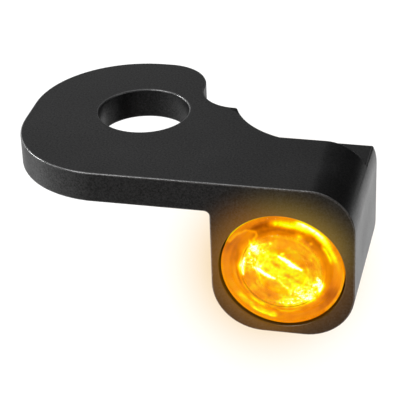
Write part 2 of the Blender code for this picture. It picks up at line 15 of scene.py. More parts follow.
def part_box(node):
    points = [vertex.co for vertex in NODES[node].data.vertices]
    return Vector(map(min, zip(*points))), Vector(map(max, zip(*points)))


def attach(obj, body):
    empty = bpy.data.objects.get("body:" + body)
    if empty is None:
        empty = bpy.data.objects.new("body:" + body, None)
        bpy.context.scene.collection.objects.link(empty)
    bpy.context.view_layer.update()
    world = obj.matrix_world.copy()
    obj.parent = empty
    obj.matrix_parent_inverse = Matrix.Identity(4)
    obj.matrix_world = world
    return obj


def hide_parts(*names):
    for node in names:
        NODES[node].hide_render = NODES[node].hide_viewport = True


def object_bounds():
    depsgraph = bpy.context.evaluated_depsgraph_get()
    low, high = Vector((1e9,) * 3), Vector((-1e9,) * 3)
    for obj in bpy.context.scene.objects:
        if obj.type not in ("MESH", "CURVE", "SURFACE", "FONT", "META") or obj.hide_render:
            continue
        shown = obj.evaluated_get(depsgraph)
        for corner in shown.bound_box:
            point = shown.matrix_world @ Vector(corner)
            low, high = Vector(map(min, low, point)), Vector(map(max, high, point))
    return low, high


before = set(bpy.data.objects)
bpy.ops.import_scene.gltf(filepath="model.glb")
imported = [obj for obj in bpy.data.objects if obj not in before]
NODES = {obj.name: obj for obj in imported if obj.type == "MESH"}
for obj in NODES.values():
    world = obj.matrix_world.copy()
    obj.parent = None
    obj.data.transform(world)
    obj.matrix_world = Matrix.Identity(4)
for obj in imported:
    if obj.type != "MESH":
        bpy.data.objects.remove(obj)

MM = 0.001
CAD_LO, CAD_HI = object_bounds()
SCENE = bpy.context.scene
rng = random.Random(7)             # shared by the light rays, the crystal and its facets, in turn

# ------------------------------------------------------------ places read from the frame
cup_lo, cup_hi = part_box("lamp_cup")
AXIS_X = (cup_lo.x + cup_hi.x) / 2
AXIS_Z = (cup_lo.z + cup_hi.z) / 2
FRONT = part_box("bracket_body")[0].y          # the block's front face
CUP_R = (cup_hi.x - cup_lo.x) / 2 / MM


def depth_range(node):
    """How deep a node starts and ends behind the front face, in mm."""
    lo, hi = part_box(node)
    return (lo.y - FRONT) / MM, (hi.y - FRONT) / MM


def outer_radius(node):
    return (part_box(node)[1].x - AXIS_X) / MM


def lamp_point(x, z, depth):
    return Vector((AXIS_X + x * MM, FRONT + depth * MM, AXIS_Z + z * MM))


# ------------------------------------------------------------ shader graphs
class Graph:
    """Builds shader nodes from short calls; every value is a socket or a number."""

    def __init__(self, name):
        self.mat = bpy.data.materials.new(name)
        self.mat.use_nodes = True
        self.tree = self.mat.node_tree
        self.tree.nodes.clear()
        self.out = self.tree.nodes.new("ShaderNodeOutputMaterial")

    def put(self, socket, value):
        if isinstance(value, bpy.types.NodeSocket):
            self.tree.links.new(value, socket)
        elif isinstance(value, (tuple, list)) and len(value) == 3 and socket.type == "RGBA":
            socket.default_value = (*value, 1.0)
        else:
            socket.default_value = value

    def node(self, kind, inputs=None, **props):
        node = self.tree.nodes.new("ShaderNode" + kind)
        for key, value in props.items():
            setattr(node, key, value)
        for key, value in (inputs or {}).items():
            self.put(node.inputs[key], value)
        return node

    def math(self, operation, a, b=None):
        inputs = {0: a} if b is None else {0: a, 1: b}
        return self.node("Math", inputs, operation=operation).outputs[0]

    def add(self, a, b):
        return self.math("ADD", a, b)

    def sub(self, a, b):
        return self.math("SUBTRACT", a, b)

    def mul(self, a, b):
        return self.math("MULTIPLY", a, b)

    def weigh(self, a, share_a, b, share_b):
        return self.add(self.mul(a, share_a), self.mul(b, share_b))

    def vector(self, operation, a, b=None):
        inputs = {0: a} if b is None else {0: a, 1: b}
        node = self.node("VectorMath", inputs, operation=operation)
        return node.outputs["Value" if operation in ("DOT_PRODUCT", "LENGTH") else "Vector"]

    def split(self, vector):
        return self.node("SeparateXYZ", {"Vector": vector}).outputs

    def remap(self, kind, value, over, to):
        inputs = {"Value": value, "From Min": over[0], "From Max": over[1],
                  "To Min": to[0], "To Max": to[1]}
        return self.node("MapRange", inputs, interpolation_type=kind).outputs[0]

    def smooth(self, value, over, to=(0.0, 1.0)):
        return self.remap("SMOOTHSTEP", value, over, to)

    def linear(self, value, over, to=(0.0, 1.0)):
        return self.remap("LINEAR", value, over, to)

    def where(self):
        return self.node("TexCoord").outputs["Object"]

    def noise(self, scale, detail, rough, at=None, distort=0.0):
        inputs = {"Vector": at or self.where(), "Scale": scale, "Detail": detail,
                  "Roughness": rough, "Distortion": distort}
        return self.node("TexNoise", inputs).outputs["Fac"]

    def voronoi(self, scale, at, feature="F1", out="Distance"):
        inputs = {"Vector": at, "Scale": scale}
        return self.node("TexVoronoi", inputs, feature=feature).outputs[out]

    def mix(self, factor, a, b):
        return self.node("Mix", {0: factor, 6: a, 7: b}, data_type="RGBA").outputs[2]

    def ramp(self, factor, stops):
        node = self.node("ValToRGB", {0: factor})
        elements = node.color_ramp.elements
        while len(elements) < len(stops):
            elements.new(0.5)
        for element, (position, colour) in zip(elements, stops):
            element.position = position
            element.color = (*colour, 1.0)
        return node.outputs[0]

    def bump(self, height, strength, distance):
        inputs = {"Height": height, "Strength": strength, "Distance": distance}
        return self.node("Bump", inputs).outputs[0]

    def attribute(self, name):
        return self.node("Attribute", attribute_name=name).outputs["Fac"]

    def principled(self, **inputs):
        named = {key.replace("_", " "): value for key, value in inputs.items()}
        return self.node("BsdfPrincipled", named)

    def done(self, shader):
        self.tree.links.new(shader.outputs[0], self.out.inputs[0])
        return self.mat


# ------------------------------------------------------------ materials of the bracket
SPILL = 1.35                       # strength of the warm light on the face round the lamp
STEM_Y = 0.0075                    # axis of the upright stem hole, at x = 0
STEM_WALL = (0.00534, 0.00528)     # the painted shade on the stem hole's wall sets in between these radii


def blasted_film(g, p, grain, normal, pits, stem_wall_shade):
    """Base colour, roughness and specular level of the open faces: worn at the edges and lightened
    there as a painted highlight, with painted shade on the stem hole's wall.
    """
    cloud = g.noise(scale=150.0, detail=3.0, rough=0.5, at=p)
    bevel = g.node("Bevel", {"Radius": 0.00020}, samples=6).outputs[0]
    edge = g.smooth(g.vector("DOT_PRODUCT", bevel, normal), over=(0.985, 0.84))
    patches = g.noise(scale=1100.0, detail=4.0, rough=0.65, at=p)
    wear_and_painted_highlight = g.mul(edge, g.smooth(patches, over=(0.36, 0.62), to=(0.45, 1.0)))
    tone = g.weigh(grain, 0.72, cloud, 0.28)
    film = g.ramp(tone, [(0.30, (0.0012, 0.0012, 0.0013)), (0.5, (0.0029, 0.0029, 0.0030)),
                         (0.72, (0.010, 0.010, 0.0102))])
    # lighter grey along the edges: worn film, lightened further as a painted highlight
    base = g.mix(wear_and_painted_highlight, film, (0.06, 0.06, 0.061))
    polish = -0.06                 # change of roughness along the worn, painted-highlight edges
    rough = g.add(g.linear(cloud, over=(0.3, 0.7), to=(0.30, 0.37)), g.mul(wear_and_painted_highlight, polish))
    # blasted grain shades itself at a glancing view
    facing = g.node("LayerWeight", {"Blend": 0.5}).outputs["Facing"]
    sheen = g.mul(g.smooth(facing, over=(0.52, 0.85), to=(0.5, 0.24)), pits)
    # painted shade: lower specular level on the stem hole's wall
    sheen = g.mul(sheen, g.smooth(stem_wall_shade, over=(0.0, 1.0), to=(1.0, 0.60)))
    worn_sheen = 0.2               # extra specular level along the worn, painted-highlight edges
    return base, rough, g.add(sheen, g.mul(wear_and_painted_highlight, worn_sheen))


def warm_spill(g, shader, p, normal):
    """The lit lamp's light on the forward faces, fading away from its axis."""
    place = g.split(p)
    dx = g.mul(g.sub(place["X"], AXIS_X), 1 / MM)
    dz = g.mul(g.sub(place["Z"], AXIS_Z), 1 / MM)
    depth = g.mul(g.sub(place["Y"], FRONT), 1 / MM)
    radius = g.math("SQRT", g.add(g.mul(dx, dx), g.mul(dz, dz)))
    steepness = 2.3
    fall = g.math("POWER", g.smooth(radius, over=(13.0, 6.0)), steepness)
    fall = g.mul(fall, g.smooth(depth, over=(3.0, 0.0)))
    fall = g.mul(fall, g.smooth(g.split(normal)["Y"], over=(0.2, -0.8)))
    # weaker low and outboard, yellower high and outboard: distances along two slanted lines
    low_side = g.sub(g.mul(dx, 0.82), g.mul(dz, 0.57))
    high_side = g.weigh(dx, 0.6, dz, 0.8)
    fall = g.mul(fall, g.smooth(low_side, over=(2.0, 7.2), to=(0.97, 0.42)))
    amber, yellow = (0.160, 0.064, 0.003), (0.160, 0.098, 0.011)
    colour = g.mix(g.smooth(high_side, over=(2.5, 7.5)), amber, yellow)
    g.put(shader.inputs["Emission Color"], colour)
    g.put(shader.inputs["Emission Strength"], g.mul(fall, SPILL))


def anodised(name, edge_break=False):
    """Bead-blasted, black anodised aluminium; edge_break gives the thin worn film of broken edges,
    lightened as a painted highlight.
    """
    g = Graph(name)
    p = g.where()
    grain = g.noise(scale=5600.0, detail=2.0, rough=0.7, at=p)
    fine = g.voronoi(scale=8200.0, at=p)
    normal = g.node("NewGeometry").outputs["Normal"]
    # painted shade in the stem hole: its wall is given a lower specular level and a little more
    # roughness
    place = g.split(p)
    from_stem = g.math("SQRT", g.add(g.math("POWER", place["X"], 2.0),
                                     g.math("POWER", g.sub(place["Y"], STEM_Y), 2.0)))
    stem_wall_shade = g.smooth(from_stem, over=STEM_WALL)
    # each pit takes the light a little differently
    pit_noise = g.noise(scale=4700.0, detail=2.0, rough=0.8, at=p)
    pits = g.linear(pit_noise, over=(0.30, 0.70), to=(0.45, 1.55))
    if edge_break:
        # the broken edges' worn film, made lighter as a painted highlight
        rubbed_and_highlit = g.smooth(grain, over=(0.3, 0.7), to=(0.25, 0.9))
        base = g.mix(rubbed_and_highlit, (0.006, 0.006, 0.0062), (0.034, 0.034, 0.0345))
        rough = g.linear(grain, over=(0.3, 0.7), to=(0.26, 0.36))
        specular = g.mul(pits, 0.5)
    else:
        base, rough, specular = blasted_film(g, p, grain, normal, pits, stem_wall_shade)
    stem_wall_rough = 0.02            # extra roughness of the stem hole's wall
    shader = g.principled(
        Base_Color=base, Roughness=g.add(rough, g.mul(stem_wall_shade, stem_wall_rough)),
        IOR=1.60 if edge_break else 1.34, Specular_IOR_Level=specular,
        Normal=g.bump(g.weigh(grain, 0.65, fine, 0.35), strength=0.30, distance=0.00003))
    warm_spill(g, shader, p, normal)
    return g.done(shader)


# ------------------------------------------------------------ materials of the other pieces
def grained(name, colour, rough, scale, metal=0.0, vary=0.25, bump=0.06, **extra):
    """A grained solid: colour and roughness both wander a little, over a fine bump."""
    g = Graph(name)
    p = g.where()
    fine = g.noise(scale=scale, detail=4.0, rough=0.6, at=p)
    broad = g.noise(scale=scale / 9.0, detail=2.0, rough=0.5, at=p)
    tone = g.weigh(fine, 0.55, broad, 0.45)
    dark = tuple(c * (1 - vary) for c in colour)
    pale = tuple(min(1.0, c * (1 + vary)) for c in colour)
    return g.done(g.principled(
        Base_Color=g.ramp(tone, [(0.3, dark), (0.7, pale)]),
        Roughness=g.linear(tone, over=(0.3, 0.7), to=(rough * 0.85, min(1.0, rough * 1.15))),
        Metallic=metal, Normal=g.bump(fine, strength=bump, distance=0.00003), **extra))


def turned_metal(name, colour, rough, pitch, strength):
    """Machined metal: fine turning rings about the lamp's axis, with faint smears."""
    g = Graph(name)
    p = g.where()
    place = g.split(p)
    radius = g.math("SQRT", g.add(g.math("POWER", g.sub(place["X"], AXIS_X), 2.0),
                                  g.math("POWER", g.sub(place["Z"], AXIS_Z), 2.0)))
    rings = g.math("SINE", g.mul(g.add(radius, place["Y"]), 2 * math.pi / pitch))
    fine = g.noise(scale=2600.0, detail=4.0, rough=0.6, at=p)
    smear = g.noise(scale=420.0, detail=3.0, rough=0.6, at=p)
    dark = tuple(c * 0.78 for c in colour)
    pale = tuple(min(1, c * 1.12) for c in colour)
    ring_share = 0.5
    height = g.add(g.mul(rings, ring_share), fine)
    return g.done(g.principled(
        Base_Color=g.ramp(smear, [(0.3, dark), (0.7, pale)]), Metallic=1.0,
        Roughness=g.linear(smear, over=(0.3, 0.7), to=(rough * 0.8, rough * 1.25)),
        Normal=g.bump(height, strength=strength, distance=0.000012)))


# light level and colour of the lit lamp, dark to white-hot
HEAT = [
    (0.00, (0.26, 0.045, 0.0)), (0.14, (0.48, 0.112, 0.0)), (0.30, (0.74, 0.205, 0.0)),
    (0.45, (0.87, 0.300, 0.0)), (0.60, (0.86, 0.48, 0.0)), (0.72, (0.88, 0.77, 0.0)),
    (0.84, (0.87, 0.95, 0.0)), (0.93, (0.96, 1.0, 0.12)), (1.00, (1.0, 1.0, 0.80)),
]
LAMP_STRENGTH = 1.0
FACET_LIGHT = (0.42, -0.35, 0.84)  # facets turned this way look brighter
FACET_MIDDLE = 0.35                # turned this far to it, a facet keeps its level
FACET_SCATTER = 0.55               # share of each facet's own random level
UNLIT_SHARE = 0.90                 # how far the base colour is pulled to near black


def lit(name, scale, rough, wander=0.10, facets=0.0, glints=0.0):
    """Clear plastic filled with amber light, from the level kept in the mesh's glow."""
    g = Graph(name)
    p = g.where()
    glow = g.attribute("glow")
    flow = g.noise(scale=scale, detail=4.0, rough=0.62, at=p, distort=0.6)
    level = g.add(glow, g.mul(g.sub(flow, 0.5), wander * 2))
    if facets:
        normal = g.node("NewGeometry").outputs["Normal"]
        turned = g.vector("DOT_PRODUCT", normal, FACET_LIGHT)
        contrast = g.mul(g.smooth(glow, over=(0.50, 0.82), to=(0.22, 1.0)), facets)
        level = g.add(level, g.mul(g.sub(turned, FACET_MIDDLE), contrast))
        level = g.add(level, g.mul(g.mul(g.attribute("facet"), FACET_SCATTER), contrast))
    if glints:
        cells = g.voronoi(scale=3000.0, at=p, out="Color")
        pick = g.node("SeparateColor", {"Color": cells}).outputs[0]
        spark = g.mul(g.smooth(pick, over=(0.86, 0.97)), g.smooth(glow, over=(0.55, 0.8)))
        level = g.add(level, g.mul(spark, glints))
    level = g.math("MINIMUM", g.math("MAXIMUM", level, 0.0), 1.0)
    colour = g.ramp(level, HEAT)
    white_hot = g.smooth(level, over=(0.84, 1.0), to=(1.0, 1.35))
    return g.done(g.principled(
        Base_Color=g.mix(UNLIT_SHARE, colour, (0.01, 0.003, 0.0)), Roughness=rough, IOR=1.46,
        Specular_IOR_Level=0.10, Emission_Color=colour,
        Emission_Strength=g.mul(white_hot, LAMP_STRENGTH),
        Normal=g.bump(flow, strength=0.08, distance=0.00003)))


def lens_glass():
    """Polished clear polycarbonate with the faintest amber cast and moulding ripple."""
    g = Graph("lens_clear")
    ripple = g.noise(scale=300.0, detail=2.0, rough=0.5)
    return g.done(g.principled(
        Base_Color=g.ramp(ripple, [(0.3, (1.0, 0.965, 0.90)), (0.7, (1.0, 0.985, 0.95))]),
        Roughness=g.linear(ripple, over=(0.3, 0.7), to=(0.008, 0.025)), IOR=1.15,
        Normal=g.bump(ripple, strength=0.02, distance=0.00005), Transmission_Weight=1.0))


def board():
    """White solder mask with tracks showing faintly through it."""
    g = Graph("board_white")
    p = g.where()
    fine = g.noise(scale=700.0, detail=3.0, rough=0.5, at=p)
    edges = g.voronoi(scale=900.0, at=p, feature="DISTANCE_TO_EDGE")
    track = (0.05, 0.09)           # distance over which a track gives way to the mask
    base = g.mix(g.smooth(edges, over=track), (0.58, 0.60, 0.52), (0.80, 0.80, 0.77))
    grain_share = 0.2
    height = g.add(g.smooth(edges, over=track, to=(1.0, 0.0)), g.mul(fine, grain_share))
    return g.done(g.principled(
        Base_Color=base, Roughness=g.linear(fine, over=(0.3, 0.7), to=(0.35, 0.5)),
        Normal=g.bump(height, strength=0.2, distance=0.00002)))


def led():
    """The lit emitters: mottled amber light."""
    g = Graph("led_lit")
    grain = g.noise(scale=5000.0, detail=3.0, rough=0.6, at=g.where())
    colour = g.ramp(grain, [(0.3, (1.0, 0.62, 0.05)), (0.7, (1.0, 0.85, 0.30))])
    return g.done(g.principled(
        Base_Color=(0.9, 0.6, 0.2), Roughness=0.3, Emission_Color=colour, Emission_Strength=3.0,
        Normal=g.bump(grain, strength=0.1, distance=0.00002)))


# ------------------------------------------------------------ mesh helpers
def lamp_frame(radius, angle, depth):
    return lamp_point(radius * math.cos(angle), radius * math.sin(angle), depth)


def axis_frame(origin, along, side):
    """Turned pieces about any line (mm): depth runs along it, angle 0 points to side."""
    w = Vector(along).normalized()
    u = Vector(side).normalized()
    v = w.cross(u)
    return lambda radius, angle, depth: (
        origin + u * (radius * math.cos(angle)) + v * (radius * math.sin(angle)) + w * depth) * MM


def lathe(rows, segments, place=lamp_frame, closed=True, arc=None):
    """A turned body from rows of (radius, depth), either of which may be a function of the
    angle. A radius of 0 is one point. An arc (start, end) leaves a gap with capped ends."""
    bm = bmesh.new()
    rings = []
    count = segments if arc is None else segments + 1
    for radius, depth in rows:
        if not callable(radius) and radius == 0:
            rings.append([bm.verts.new(place(0, 0, depth))])
            continue
        ring = []
        for k in range(count):
            if arc is None:
                angle = 2 * math.pi * k / segments
            else:
                angle = arc[0] + (arc[1] - arc[0]) * k / segments
            here = depth(angle) if callable(depth) else depth
            ring.append(bm.verts.new(
                place(radius(angle) if callable(radius) else radius, angle, here)))
        rings.append(ring)
    pairs = list(zip(rings, rings[1:])) + ([(rings[-1], rings[0])] if closed else [])
    for a, b in pairs:
        for k in range(segments):
            k2 = (k + 1) % count
            if len(a) == 1:
                bm.faces.new((a[0], b[k2], b[k]))
            elif len(b) == 1:
                bm.faces.new((a[k], a[k2], b[0]))
            else:
                bm.faces.new((a[k], a[k2], b[k2], b[k]))
    if arc is not None:
        bm.faces.new([ring[0] for ring in rings])
        bm.faces.new([ring[-1] for ring in reversed(rings)])
    bmesh.ops.recalc_face_normals(bm, faces=bm.faces)
    return bm


def even_rows(start, end, count):
    """Profile points in count even steps from start to end, both included."""
    return [(start[0] + (end[0] - start[0]) * i / count,
             start[1] + (end[1] - start[1]) * i / count) for i in range(count + 1)]


def fillet(rows, radii, steps):
    """Rounds the corners of a profile; radii maps a point's index to its rounding."""
    out = []
    for i, point in enumerate(rows):
        if i not in radii:
            out.append(point)
            continue
        corner = Vector(point)
        u = (Vector(rows[i - 1]) - corner).normalized()
        v = (Vector(rows[(i + 1) % len(rows)]) - corner).normalized()
        half = u.angle(v) / 2
        reach = radii[i] / math.tan(half)
        centre = corner + (u + v).normalized() * (radii[i] / math.sin(half))
        start = corner + u * reach
        end = corner + v * reach
        for k in range(steps + 1):
            spoke = start.lerp(end, k / steps) - centre
            out.append(tuple(centre + spoke.normalized() * radii[i]))
    return out


def piece(name, bm, mats, body, replaced, sharp=32.0, flat=False):
    """Makes the object; it rides on body and takes the place of the replaced node."""
    me = bpy.data.meshes.new(name)
    bm.normal_update()
    bm.to_mesh(me)
    bm.free()
    for mat in mats:
        me.materials.append(mat)
    if not flat:
        me.shade_smooth()
        me.set_sharp_from_angle(angle=math.radians(sharp))
    ob = bpy.data.objects.new(name, me)
    SCENE.collection.objects.link(ob)
    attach(ob, body)
    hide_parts(replaced)
    return ob


def crease_group(name, angle):
    """Geometry nodes that join split corners and keep edges over the angle sharp."""
    group = bpy.data.node_groups.new(name, "GeometryNodeTree")
    for in_out in ("INPUT", "OUTPUT"):
        group.interface.new_socket("Geometry", in_out=in_out, socket_type="NodeSocketGeometry")
    source, sink, merge, smooth, crease, edge_angle, compare = [group.nodes.new(kind) for kind in (
        "NodeGroupInput", "NodeGroupOutput", "GeometryNodeMergeByDistance",
        "GeometryNodeSetShadeSmooth", "GeometryNodeSetShadeSmooth",
        "GeometryNodeInputMeshEdgeAngle", "FunctionNodeCompare")]
    merge.inputs["Distance"].default_value = 1e-6
    crease.domain = "EDGE"
    crease.inputs["Shade Smooth"].default_value = False
    compare.operation = "GREATER_THAN"
    compare.inputs[1].default_value = math.radians(angle)
    for output, socket in (
            (source.outputs[0], merge.inputs["Geometry"]),
            (merge.outputs[0], smooth.inputs["Geometry"]),
            (smooth.outputs[0], crease.inputs["Geometry"]),
            (edge_angle.outputs["Unsigned Angle"], compare.inputs[0]),
            (compare.outputs[0], crease.inputs["Selection"]),
            (crease.outputs[0], sink.inputs[0])):
        group.links.new(output, socket)
    return group


def cad_smooth(ob, angle):
    """Shading only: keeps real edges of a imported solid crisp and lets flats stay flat."""
    me = ob.data
    if "custom_normal" in me.attributes:
        me.attributes.remove(me.attributes["custom_normal"])
    for polygon in me.polygons:
        polygon.use_smooth = True
    name = "join_and_crease_%d" % angle
    mod = ob.modifiers.new("join_and_crease", "NODES")
    mod.node_group = bpy.data.node_groups.get(name) or crease_group(name, angle)
    weighted = ob.modifiers.new("weighted_normals", "WEIGHTED_NORMAL")
    weighted.keep_sharp = True
    weighted.weight = 90


def set_mat(ob, mat):
    ob.data.materials.clear()
    ob.data.materials.append(mat)


# ------------------------------------------------------------ bracket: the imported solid
BREAK_WIDTH = 0.00026              # widest face along a broken edge
UPRIGHT_BREAK_WIDTH = 0.0002       # the same along upright edges
SQUARE_ON = 0.985                  # a normal this near an axis belongs to a main face
LEVEL = 0.12                       # a smaller part of a normal counts as none


def mark_broken_edges(ob):
    """Gives the narrow slanted faces along the edges the second material."""
    me = ob.data
    for polygon in me.polygons:
        points = [me.vertices[i].co for i in polygon.vertices]
        longest = max((points[i] - points[i - 1]).length for i in range(len(points)))
        area = 2 * polygon.area if len(points) == 3 else polygon.area
        across = area / max(longest, 1e-9)
        nx, ny, nz = (abs(part) for part in polygon.normal)
        c = polygon.center
        from_axis = math.hypot(c.x - AXIS_X, c.z - AXIS_Z)
        if from_axis < 1.12 * CUP_R * MM and c.y < FRONT + 0.001:
            continue                                   # the bore's mouth stays dark
        if across >= BREAK_WIDTH or max(nx, ny, nz) >= SQUARE_ON:
            continue
        if nz > LEVEL or (ny > LEVEL and nz < LEVEL and across < UPRIGHT_BREAK_WIDTH):
            polygon.material_index = 1


def finish_bracket():
    bracket = NODES["bracket_body"]
    set_mat(bracket, anodised("black_anodised"))
    bracket.data.materials.append(anodised("black_anodised_edge", edge_break=True))
    mark_broken_edges(bracket)
    cad_smooth(bracket, 50)


# ------------------------------------------------------------ the lit lamp seen from in front
# Shapes of light in mm on a plane half a millimetre behind the block's front face,
# each 1 at its heart and fading softly to 0.
def segment_distance(x, z, start, end):
    """Distance from a segment, and how far along it (0..1) the nearest point lies."""
    dx, dz = end[0] - start[0], end[1] - start[1]
    t = np.clip(((x - start[0]) * dx + (z - start[1]) * dz) / (dx ** 2 + dz ** 2 + 1e-12), 0, 1)
    return np.hypot(x - start[0] - t * dx, z - start[1] - t * dz), t


def stroke(x, z, points, half_width, taper=True):
    """A soft line through points."""
    best = np.zeros_like(x)
    count = len(points) - 1
    for i in range(count):
        distance, t = segment_distance(x, z, points[i], points[i + 1])
        width = half_width
        if taper:
            along = np.clip((i + t) / count, 0.04, 0.96)
            width = half_width * (0.35 + 0.65 * np.sin(np.pi * along) ** 0.7)
        best = np.maximum(best, np.exp(-(distance / width) ** 2.0))
    return best


def blob(x, z, centre, size_u, size_v, turn=0.0, power=2.0):
    """A soft ellipse; turn is in degrees, a higher power gives a firmer edge."""
    cos, sin = math.cos(math.radians(turn)), math.sin(math.radians(turn))
    u = (x - centre[0]) * cos + (z - centre[1]) * sin
    v = -(x - centre[0]) * sin + (z - centre[1]) * cos
    return np.exp(-((u / size_u) ** 2 + (v / size_v) ** 2) ** (power / 2))


def band(x, z, radius, width, start, end, fade, power=2.0, centre=(0.0, 0.0)):
    """A soft arc between two angles, fading out over fade; all three in degrees."""
    rho = np.hypot(x - centre[0], z - centre[1])
    angle = np.degrees(np.arctan2(z - centre[1], x - centre[0]))
    off = np.abs((angle - (start + end) / 2 + 180) % 360 - 180)
    window = np.clip((abs(end - start) / 2 + fade - off) / fade, 0, 1)
    window = window * window * (3 - 2 * window)
    return np.exp(-(np.abs(rho - radius) / width) ** power) * window


def wander(x, z, scale, seed, octaves=3):
    """Smooth repeatable wandering in -1..1."""
    out = np.zeros_like(x)
    for i in range(x.size):
        at = Vector((x.flat[i] * scale + seed, z.flat[i] * scale - seed, seed * 0.37))
        out.flat[i] = noise.fractal(at, 1.0, 2.0, octaves)
    return out


# Each table: amount or level, shape, then the shape's arguments after x and z.
RING_POOLS = [                     # amounts added to the outer ring
    (-0.17, blob, (-5.15, 1.9), 1.15, 2.3, 22),
    (-0.33, blob, (5.25, -2.9), 0.9, 2.0, -32),
    (-0.16, blob, (3.5, 3.9), 1.3, 0.75, -45),
    (-0.27, band, 5.75, 0.42, 98, 122, 10),
    (-0.14, band, 4.95, 0.35, 60, 118, 16),
    (-0.10, blob, (-4.6, -2.2), 0.9, 1.6, 30),
    (0.10, band, 6.3, 0.5, -30, 8, 18),
    (0.08, band, 5.9, 0.6, -175, -140, 15),
]
DISC_POOLS = [                     # amounts added within the inner disc
    (-0.12, blob, (-1.8, -3.7), 1.5, 0.9, -25),
    (-0.06, blob, (2.9, 0.9), 0.8, 0.5, -30),
    (0.30, blob, (0.75, -3.95), 1.7, 0.62, 4),
    (0.12, blob, (-3.0, -2.6), 0.7, 1.3, 40),
    (0.07, blob, (-0.6, -2.8), 2.4, 1.1, -20),
]
HOT_BAND = [                       # blobs of the three emitters: centre, sizes, turn, power
    ((-2.45, 1.25), 2.1, 1.95, -33, 4.0),
    ((0.0, -0.15), 3.2, 1.62, -33, 4.0),
    ((2.55, -1.95), 2.15, 2.0, -36, 4.0),
]
HOT_GAPS = [                       # amounts added within the hot band
    (-0.30, blob, (-0.62, 0.62), 0.62, 0.26, -30),
    (-0.26, blob, (0.72, -0.62), 0.55, 0.24, -25),
    (-0.16, blob, (1.7, -1.25), 0.5, 0.2, -20),
]
WHITE_HOT = 1.04                   # the level the next table's marks pull to
WHITE_MARKS = [                    # strengths of the white-hot streaks and spots
    (1.2, stroke, [(-0.35, 1.72), (0.55, 1.22), (1.2, 0.72), (2.1, 0.28)], 0.38),
    (0.85, blob, (0.05, 2.1), 0.32, 0.16, 25),
    (1.15, stroke, [(-2.95, 0.05), (-2.3, -0.42), (-1.6, -0.85), (-0.85, -1.12)], 0.29),
    (0.8, blob, (-2.45, 0.38), 0.26, 0.2, 10),
    (1.15, blob, (-3.05, 2.55), 0.52, 0.42, 20),
    (0.9, stroke, [(-3.5, 3.1), (-2.9, 2.5), (-2.55, 2.0)], 0.2),
    (1.2, stroke, [(-4.25, 1.05), (-4.46, 0.15), (-4.4, -0.9)], 0.35),
    (1.15, stroke, [(3.85, -0.65), (4.3, -1.45), (4.15, -2.3)], 0.36),
    (0.8, blob, (3.72, -1.5), 0.4, 0.22, -20),
    (1.15, blob, (2.75, -3.35), 0.62, 0.42, 12),
    (0.8, stroke, [(2.2, -3.05), (2.75, -3.45), (3.35, -3.3)], 0.18),
]
FINE_LINES = [                     # levels of the fine bright lines
    (0.93, stroke, [(-0.4, -1.25), (0.2, -2.0), (0.95, -2.5), (2.1, -2.85), (3.3, -2.8)],
     0.15, False),
    (0.86, stroke, [(-0.85, -4.0), (0.3, -4.3), (1.3, -4.15), (2.2, -3.8)], 0.13),
    (0.74, stroke, [(-0.4, -3.3), (0.6, -3.45), (1.7, -3.35)], 0.12),
    (0.68, stroke, [(-1.2, -4.85), (0.0, -5.28), (1.2, -5.15), (2.2, -4.7)], 0.11),
    (0.56, stroke, [(-3.6, -3.4), (-2.7, -4.4), (-1.6, -5.1)], 0.10),
    (0.50, stroke, [(-5.3, -0.6), (-5.15, -1.9), (-4.5, -3.2)], 0.12),
    (0.66, band, 4.18, 0.09, 5, 92, 12, 2.0, (0.05, 0.0)),
    (0.60, band, 3.72, 0.08, 20, 75, 14, 2.0, (0.1, 0.0)),
    (0.66, band, 2.75, 0.09, 175, 268, 14),
    (0.72, band, 0.27, 0.075, -180, 180, 1, 2.0, (-2.55, -1.75)),
    (0.78, stroke, [(3.0, 1.85), (3.25, 1.55)], 0.1),
    (0.66, stroke, [(3.6, 1.5), (3.95, 0.55)], 0.08),
    (0.64, blob, (0.75, 2.85), 0.25, 0.18),
]
RAY_CENTRE = (-2.9, 2.35)          # the upper left hot spot
RAY_COUNT = 9
RAY_LEVEL = 0.80
RING_GLOW_AND_REFLECTION = [                    # levels in the outer ring: the lamp's light, with a painted reflection of the key light in the crescent at the upper right
    (0.84, band, 5.85, 0.36, 66, 95, 12, 3.0),
    (0.86, band, 6.15, 0.40, 40, 70, 12, 3.0),
    (0.85, band, 6.12, 0.27, 20, 42, 12, 3.0),
    (1.0, band, 6.30, 0.23, 47, 68, 12),
    (0.90, blob, (0.7, 5.65), 0.85, 0.26, -8),
    (0.56, band, 6.62, 0.10, -78, -2, 14),
    (0.84, band, 5.62, 0.20, 18, 33, 8),
    (0.74, blob, (1.95, 4.45), 0.5, 0.34, -30),
    (0.70, blob, (3.2, 3.7), 0.16, 0.14),
]
MOTTLED_WIDE = (0.74, band, 5.9, 0.42, -141, -100, 9, 3.0)
MOTTLED_NARROW = (0.88, band, 6.12, 0.26, -120, -99, 6)
LAST_LINES = [                     # levels of the lines laid over the rest
    (0.76, band, 5.1, 0.17, -130, -114, 8),
    (0.60, stroke, [(-5.75, 3.0), (-5.0, 4.0), (-3.9, 4.6), (-2.85, 4.55), (-2.7, 4.15),
                    (-3.3, 3.35), (-3.6, 2.9)], 0.115, False),
    (0.55, band, 5.2, 0.08, 185, 250, 16),
]


def add_pools(h, x, z, pools, share=1.0):
    for amount, shape, *args in pools:
        h = h + share * amount * shape(x, z, *args)
    return h


def brighten(h, level, strength):
    """Pulls h up towards a level, never down."""
    return np.maximum(h, h + (level - h) * np.clip(strength, 0, 1))


def draw_lines(h, x, z, lines, gain):
    for level, shape, *args in lines:
        h = brighten(h, level, shape(x, z, *args) * gain)
    return h


def draw_rays(h, x, z, gain):
    """Short rays out of a hot spot, drawn anew at each call."""
    for k in range(RAY_COUNT):
        angle = math.radians(28 + 11.5 * k + rng.uniform(-3, 3))
        reaches = (0.45, rng.uniform(0.9, 1.5))
        points = [(RAY_CENTRE[0] + reach * math.cos(angle),
                   RAY_CENTRE[1] + reach * math.sin(angle)) for reach in reaches]
        h = brighten(h, RAY_LEVEL, stroke(x, z, points, 0.07) * gain)
    return h


